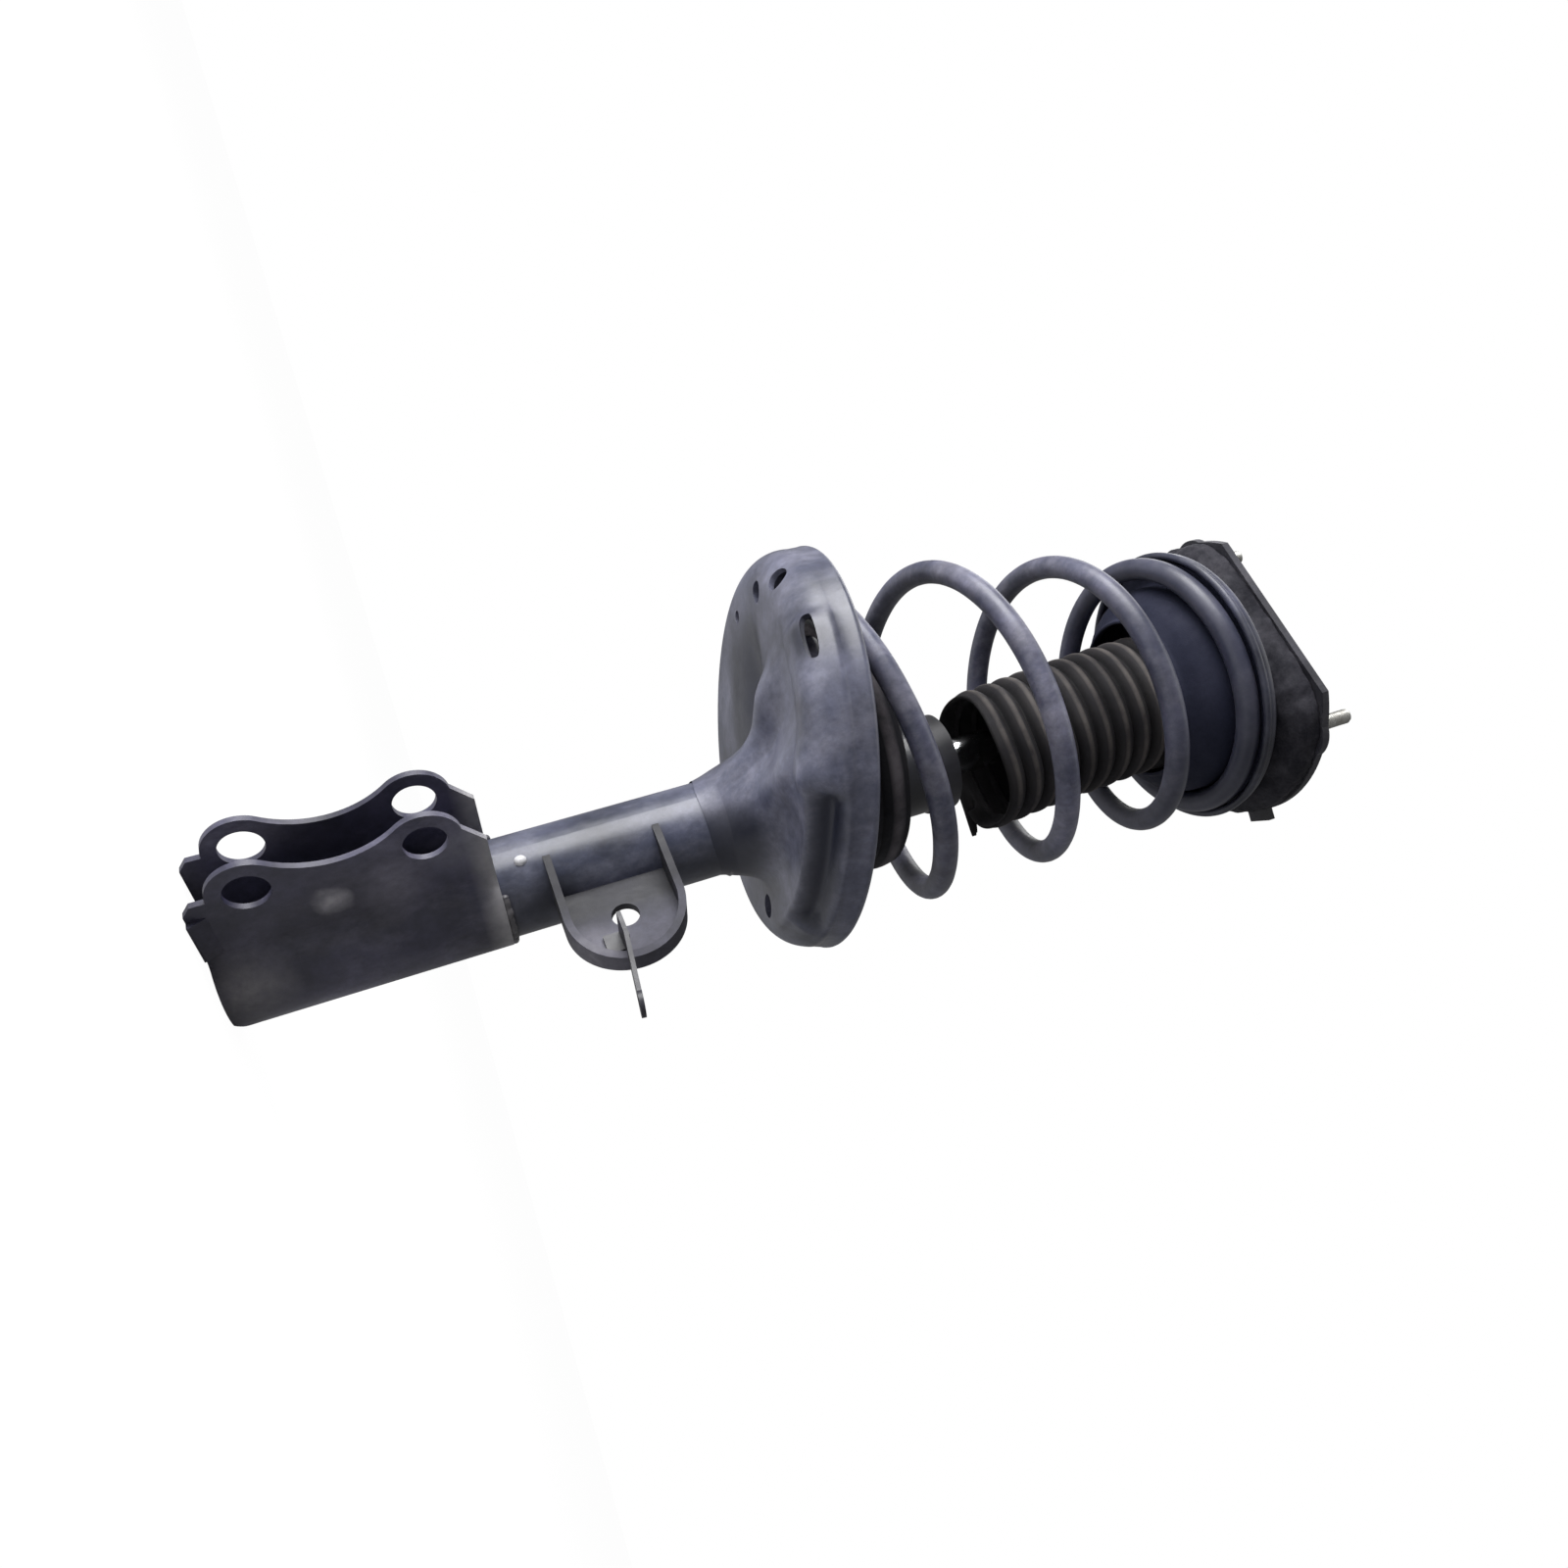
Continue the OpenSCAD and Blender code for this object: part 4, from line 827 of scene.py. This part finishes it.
def press_parts(x, y):
    """The sheet's drop in parts: a flare that falls with a power, two ridges, and a hollow beside them."""
    tx = x + tube_x
    rho, phi = np.hypot(tx, y), np.arctan2(y, tx)
    reach = flare_least + flare_more * (0.5 + 0.5 * np.cos(phi - flare_side)) ** 1.5
    out = np.clip(1 - (rho - neck_r) / (reach - neck_r), 0, 1) ** 2.2
    flare = (neck_drop + math.tan(seat_tilt) * tx) * out
    ridge = 0 * out
    for turn_deg, length, high, wide in ridges:
        c, s = math.cos(math.radians(turn_deg)), math.sin(math.radians(turn_deg))
        along, across = tx * c + y * s, y * c - tx * s
        ridge = np.maximum(ridge, high * hill(across, 0, wide) * ease(along / 0.03) * ease((length - along) / 0.03))
    c, s = math.cos(hollow_turn), math.sin(hollow_turn)
    hollow = hollow_deep * hill(tx * c + y * s, hollow_at, hollow_long) * hill(y * c - tx * s, 0, hollow_wide)
    return flare, ridge * (1 - out), hollow


def pressed(x, y):
    """How far the sheet stands out below its flat floor."""
    flare, ridge, hollow = press_parts(x, y)
    return flare + ridge - hollow


def corner_parts(beta, side):
    """The corner's boss, and the sunk channel below it, each from 0 to 1 (angles in degrees)."""
    boss = between(side, 58, 106, 7) * hill(beta, -48, 32)
    channel = between(side, 108, 156, 5) * hill(beta, -38, 21)
    return boss, channel


def corner_pressed(beta, side):
    """How far the corner stands out: boss, channel, a rib on its inner edge and a line on its outer one."""
    boss, channel = corner_parts(beta, side)
    rib = rib_high * between(side, 100, 172, 12) * hill(beta, -68, 8)
    edge = edge_high * between(side, 60, 172, 14) * hill(beta, -9, 8)
    return boss_high * boss - channel_deep * channel + rib + edge


print("flare, ridges and corner defined")

# %% [markdown]
# The rows are made in the order in which a pencil would follow the sheet's section: out of the tapered
# collar, under the floor, round the corner, over the rim, and back along the inside to the tube.

# %% Pan
columns, collar_more = 300, 0.010
side = np.linspace(0, 360, columns, endpoint=False)[None, :]
ring = np.stack([np.cos(np.radians(side)), np.sin(np.radians(side))], -1)


def floor_rows(share, hole):
    """Rings that change from a circle round the tube to the edge of the flat floor."""
    k = share[:, None, None]
    return (1 - k) * (np.array([-tube_x, 0]) + hole * ring * [1 / math.cos(seat_tilt), 1]) + k * floor_r * ring


def joined(xy, z):
    """Points from their place on the floor and their height."""
    return np.concatenate([xy, (z + 0 * xy[..., 0])[..., None]], -1)


def along_tube(points, drop):
    """Points moved down the tube by a drop; the tube leans in the pan's frame by the pan's own tilt."""
    return points - drop[..., None] * np.array([math.sin(seat_tilt), 0, math.cos(seat_tilt)])


def corner_rows(radius, beta, push):
    """Rings round the corner's arc, moved outwards by a push."""
    b = np.radians(beta)[:, None]
    r = floor_r + (radius + push) * np.cos(b)
    z = seat_corner - seat_sheet + (radius + push) * np.sin(b)
    return joined(r[..., None] * ring, z)


share = np.linspace(0, 1, 72) ** 1.4
under = floor_rows(share, neck_r)
drop = pressed(under[..., 0], under[..., 1])
beta = np.linspace(-90, 0, 34)[1:]
fade = (1 - ease((beta + 90) / 60))[:, None]
push = corner_pressed(beta[:, None], side) + drop[-1:] * fade
rim = np.radians(np.linspace(-30, 210, 14))
rim_rows = joined((seat_r - seat_sheet / 2 + seat_sheet * np.cos(rim))[:, None, None] * ring,
                  (seat_depth + seat_sheet * np.sin(rim))[:, None])
inner_floor = floor_rows(share[::-1], tube_r + 0.0001)
taper = np.linspace(0, 1, 7)[:-1]
collar = [joined(floor_rows(np.array([0.0]), tube_r + 0.0002 + 0.0028 * k ** 1.3), -seat_sheet) for k in taper]
start = np.concatenate([along_tube(row, drop[:1] + collar_more * (1 - k)) for row, k in zip(collar, taper)])
under = along_tube(joined(under, -seat_sheet), drop)
inner_press = press_parts(inner_floor[..., 0], inner_floor[..., 1])[2]
sheet = np.concatenate([
    start, under, corner_rows(seat_corner, beta, push), rim_rows,
    corner_rows(seat_corner - seat_sheet, beta[::-1], 0.5 * push[::-1]), joined(inner_floor, 0.8 * inner_press)])
pan = close_up(surface("pressed_pan", on_pan(sheet), True, True))
print("pan:", len(pan.data.vertices), "points")

# %% [markdown]
# The holes are cut after the sheet is formed, as a punch would do it: closed cutters go through the
# sheet and the pad behind it, and a Boolean modifier takes them away. The slot's is a drawn-out circle.


# %% Holes in the pan
def cutter(at_deg, radius, height, lean_deg, half_x, half_y, reach):
    """A closed prism on a drawn-out circle, at an angle, radius and height of the pan, leant from its axis."""
    t = circle(40)
    power = 0.6 if half_y > 2 * half_x else 1.0
    flat = np.stack([half_x * np.sign(np.cos(t)) * np.abs(np.cos(t)) ** power, half_y * np.sin(t), 0 * t], -1)
    deep = np.array([0, 0, reach])
    rows = np.array([0 * flat - deep, flat - deep, flat + deep, 0 * flat + deep])
    c, s = math.cos(math.radians(lean_deg)), math.sin(math.radians(lean_deg))
    rows = np.stack([rows[..., 0] * c - rows[..., 2] * s, rows[..., 1], rows[..., 0] * s + rows[..., 2] * c], -1)
    return on_pan(turned(rows + [radius, 0, height], math.radians(at_deg)))


# Direction, radius, height, lean, half widths and half depth of each cutter; angles in degrees
punches = [(35, 0.0925, 0.000, 30, 0.0060, 0.0062, 0.009), (20, 0.080, 0.0, 0, 0.0055, 0.0062, 0.02),
           (-11, 0.073, 0.0, 0, 0.0035, 0.0035, 0.02), (180, 0.078, 0.0, 0, 0.006, 0.006, 0.02),
           (65, 0.0975, 0.0035, 50, 0.0034, 0.0122, 0.009)]
for k, punch in enumerate(punches):
    tool = close_up(surface(f"punch_{k}", cutter(*punch), False, True))
    for sheet_piece in (pan, low_pad):
        cut = sheet_piece.modifiers.new("hole", "BOOLEAN")
        cut.operation, cut.solver, cut.object = "DIFFERENCE", "EXACT", tool
        shaped = sheet_piece.evaluated_get(bpy.context.evaluated_depsgraph_get())
        done = bpy.data.meshes.new_from_object(shaped)
        sheet_piece.modifiers.clear()
        sheet_piece.data = done
    bpy.data.objects.remove(tool)
pan.data.set_sharp_from_angle(angle=math.radians(40))
pan.data.materials.clear()
pan.data.materials.append(pan_paint)
print(len(punches), "holes punched")

# %% [markdown]
# Painted shade is laid into the sheet's hollows, its channel, round the slot, on the far floor and under
# the flare, and a painted highlight onto its ridges and boss. Each point therefore stores a tone, worked
# out from the same hills and hollows that shaped it, and the paint reads it.

# %% Tone of the pan
points = np.empty(3 * len(pan.data.vertices))
pan.data.vertices.foreach_get("co", points)
points = turned(points.reshape(-1, 3), -seat_az)
c, s = math.cos(seat_tilt), math.sin(seat_tilt)
up_z = points[:, 2] + strut_h - seat_h
flat_x, flat_z = points[:, 0] * c + up_z * s - tube_x, up_z * c - points[:, 0] * s
flat_y = points[:, 1]
radius, around = np.hypot(flat_x, flat_y), np.degrees(np.arctan2(flat_y, flat_x))
flare, ridge, hollow = press_parts(flat_x, flat_y)
bend = np.degrees(np.arctan2(flat_z - seat_corner + seat_sheet, radius - floor_r))
boss, channel = corner_parts(bend, around)
on_corner = (radius > floor_r) * (flat_z < seat_corner - seat_sheet)
plain, slot_dark, far_dark, neck_dark = 0.55, 0.8, 0.75, 0.50
# painted highlight on the ridges and boss, painted shade in the hollow and the channel
level = plain + 30 * ridge - 170 * hollow + on_corner * (0.25 * boss - 0.75 * channel)
# painted shade round the slot, in the valley of the far floor and under the flare's lower side
level = level - slot_dark * hill(radius, 0.0965, 0.0045) * hill(around, 65, 7)
level = level - far_dark * hill(flat_x + tube_x, 0.058, 0.034) * hill(flat_y, -0.018, 0.019)
neck_side = between(np.degrees(np.arctan2(flat_y, flat_x + tube_x)), 85, 230, 50)
level = level - neck_dark * ease(flare / 0.012) * neck_side
store(pan, "tone", np.clip(level, 0, 1))
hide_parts("lower_spring_seat")
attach(pan, "strut")
print("after the punches:", len(pan.data.vertices), "points")

# %% [markdown]
# ## Threads
# The three studs are pressed up through the plate. A thread is a radius that depends on height and
# angle together, so one grid gives the whole screw: the crest climbs by one pitch in each turn.


# %% Studs
stud_sides = 36


def screw(radius, pitch, top, deep, start):
    """Rows of a screw from 0 to its top; the thread starts at a height and fades into a chamfer."""
    z = np.linspace(0, top, int(top / pitch * 8))[:, None]
    a = circle(stud_sides)[None, :]
    saw = np.abs(((z / pitch - a / (2 * np.pi)) % 1) * 2 - 1)
    on = ease((z - start) / pitch)
    r = radius - deep * on * (1 - saw) - (radius * 0.25) * ease((z - top + 0.0012) / 0.0012)
    return around_z(r, a, z)


def disc_rows(radius, z):
    """One ring of points at a height."""
    return around_z(radius, circle(stud_sides), z)[None]


stud_r, stud_top, stud_pitch, thread_deep, thread_from = 0.004, 0.027, 0.00125, 0.0006, 0.003
head_r, head_low, head_high = 0.0068, -0.008, -0.004
studs_r, first_stud_deg = 0.064, 77
body = screw(stud_r, stud_pitch, stud_top, thread_deep, thread_from)
one = np.concatenate([disc_rows(0, head_low), disc_rows(head_r - 0.0005, head_low), disc_rows(head_r, -0.0075),
                      disc_rows(head_r, head_high), disc_rows(stud_r, head_high), body, disc_rows(0, stud_top)])
for k in range(3):
    at = math.radians(first_stud_deg + 120 * k)
    moved = one + np.array([studs_r * math.cos(at), studs_r * math.sin(at), 0])
    stud = close_up(surface(f"stud_{k + 1}", moved, False, True), zinc)
    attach(stud, "mount")
    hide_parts("mount_studs")
print("three studs of", len(stud.data.vertices), "points")

# %% [markdown]
# ## Welds
# A weld is a row of small overlapping pools. The bead's section is a rounded ridge, and its size
# swells and shrinks along the run, once for each pool. A tack is a single pool, a flattened ball.


# %% Welds
pool_len = 0.0022


def weld_bead(name, radius, z, size, start, end, slope, node):
    """A rippled bead round the tube from one angle to another; slope is the side that its root leans to."""
    whole = end - start > 2 * math.pi - 0.01
    t = np.linspace(start, end, 420, endpoint=not whole)[:, None]
    s = circle(14)[None, :]
    pools = np.abs(np.sin(t * radius / pool_len * np.pi / 2 + 0.5 * np.sin(t * 3)))
    swell = size * (0.82 + 0.16 * pools + 0.06 * np.sin(t * 17))
    if not whole:
        swell = swell * np.sqrt(np.clip(np.minimum(t - start, end - t) / 0.05, 0.01, 1))
    rr = radius + 0.35 * size + swell * np.cos(s)
    zz = z + slope * 0.5 * size + swell * 0.95 * np.sin(s)
    piece = close_up(surface(name, around_z(rr, t, zz), whole, True), weld_paint)
    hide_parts(node)
    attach(piece, "strut")


bracket_top, neck_low = 0.119, 0.026
weld_bead("weld_bracket", tube_r, bracket_top - strut_h, 0.0021, math.radians(48), math.radians(312), 1,
          "bracket_weld")
weld_bead("weld_seat", tube_r, seat_h - neck_low - strut_h, 0.0014, 0, 2 * math.pi, -1, "seat_weld")

tack_r, tack_half, tack_at = 0.0026, 0.0030, np.array([0.0228, 0.0068, -0.4058])
tack_a = circle(20)[None, :]
tack_b = np.linspace(-np.pi / 2, np.pi / 2, 12)[:, None]
tack = around_z(tack_r * np.cos(tack_b), tack_a, tack_half * np.sin(tack_b))
tack = close_up(surface("weld_tack", tack + tack_at, False, True), tack_paint)
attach(tack, "strut")
print("two welds and a tack")

# %% [markdown]
# ## Floor and backdrop
# The floor glows white for the camera but keeps a share of its shading, and with it the shadow. The
# backdrop is white to the camera, partly white in reflections, and dim as a light.

# %% Floor and backdrop
low_z, half = cad_box[0].z - 0.0005, 6
floor_mesh = bpy.data.meshes.new("floor")
floor_mesh.from_pydata([(-half, -half, low_z), (half, -half, low_z), (half, half, low_z), (-half, half, low_z)],
                       [], [(0, 1, 2, 3)])
floor = bpy.data.objects.new("floor", floor_mesh)
bpy.context.scene.collection.objects.link(floor)
floor_white, tree, shader, _ = material("floor_white")
shader.inputs["Base Color"].default_value = (0.82, 0.82, 0.82, 1)
shader.inputs["Roughness"].default_value = 0.9
glow = tree.nodes.new("ShaderNodeEmission")
glow.inputs["Strength"].default_value = 1.08
path = tree.nodes.new("ShaderNodeLightPath")
part = tree.nodes.new("ShaderNodeMath")
part.operation = "MULTIPLY"
part.inputs[1].default_value = 0.9
blend_shader = tree.nodes.new("ShaderNodeMixShader")
tree.links.new(path.outputs["Is Camera Ray"], part.inputs[0])
tree.links.new(part.outputs[0], blend_shader.inputs["Fac"])
tree.links.new(shader.outputs["BSDF"], blend_shader.inputs[1])
tree.links.new(glow.outputs["Emission"], blend_shader.inputs[2])
tree.links.new(blend_shader.outputs["Shader"], tree.nodes["Material Output"].inputs["Surface"])
floor.data.materials.append(floor_white)

world = bpy.data.worlds.new("studio")
bpy.context.scene.world = world
world.use_nodes = True
tree = world.node_tree
dim, white = tree.nodes["Background"], tree.nodes.new("ShaderNodeBackground")
for background, strength in ((dim, 0.105), (white, 1.0)):
    background.inputs["Color"].default_value = (1, 1, 1, 1)
    background.inputs["Strength"].default_value = strength
path = tree.nodes.new("ShaderNodeLightPath")
either = tree.nodes.new("ShaderNodeMath")
either.operation = "ADD"
either.use_clamp = True
glossy = tree.nodes.new("ShaderNodeMath")
glossy.operation = "MULTIPLY"
glossy.inputs[1].default_value = 0.22
choose = tree.nodes.new("ShaderNodeMixShader")
tree.links.new(path.outputs["Is Glossy Ray"], glossy.inputs[0])
tree.links.new(path.outputs["Is Camera Ray"], either.inputs[0])
tree.links.new(glossy.outputs[0], either.inputs[1])
tree.links.new(either.outputs[0], choose.inputs["Fac"])
tree.links.new(dim.outputs["Background"], choose.inputs[1])
tree.links.new(white.outputs["Background"], choose.inputs[2])
tree.links.new(choose.outputs["Shader"], tree.nodes["World Output"].inputs["Surface"])
print("floor at", round(low_z, 4))

# %% [markdown]
# ## Lamps
# The key is a large soft lamp above the part as the camera lies. Three weaker ones at the camera's side,
# behind the part and over its top keep the dark paint readable from every side.


# %% Lamps
def softbox(name, toward, distance, size, power):
    """A square area lamp that looks at the part's middle from a direction."""
    middle = np.array([0.0, 0.0, -0.26])
    direction = np.array(toward, float)
    direction /= np.linalg.norm(direction)
    lamp = bpy.data.objects.new(name, bpy.data.lights.new(name, "AREA"))
    bpy.context.scene.collection.objects.link(lamp)
    lamp.data.size = size
    lamp.data.energy = power
    lamp.location = Vector(middle + direction * distance)
    lamp.rotation_mode = "QUATERNION"
    lamp.rotation_quaternion = Vector(direction).to_track_quat("Z", "Y")


softbox("key", up - ahead * 0.35, 1.3, 0.9, 32)
softbox("side", -right * 0.6 - ahead * 0.8 + up * 0.6, 1.5, 1.0, 5)
softbox("rim", right * 0.6 + up * 0.6 + ahead * 0.8, 1.5, 1.0, 8)
softbox("top", (0.2, 0.1, 1.0), 1.6, 1.0, 5)
bpy.context.scene.view_settings.view_transform = "Standard"
print("four lamps")

# %% [markdown]
# The box of the solids is printed at the end.

# %% Sizes and the end
print("solids", [round(v, 4) for c in cad_box for v in c])
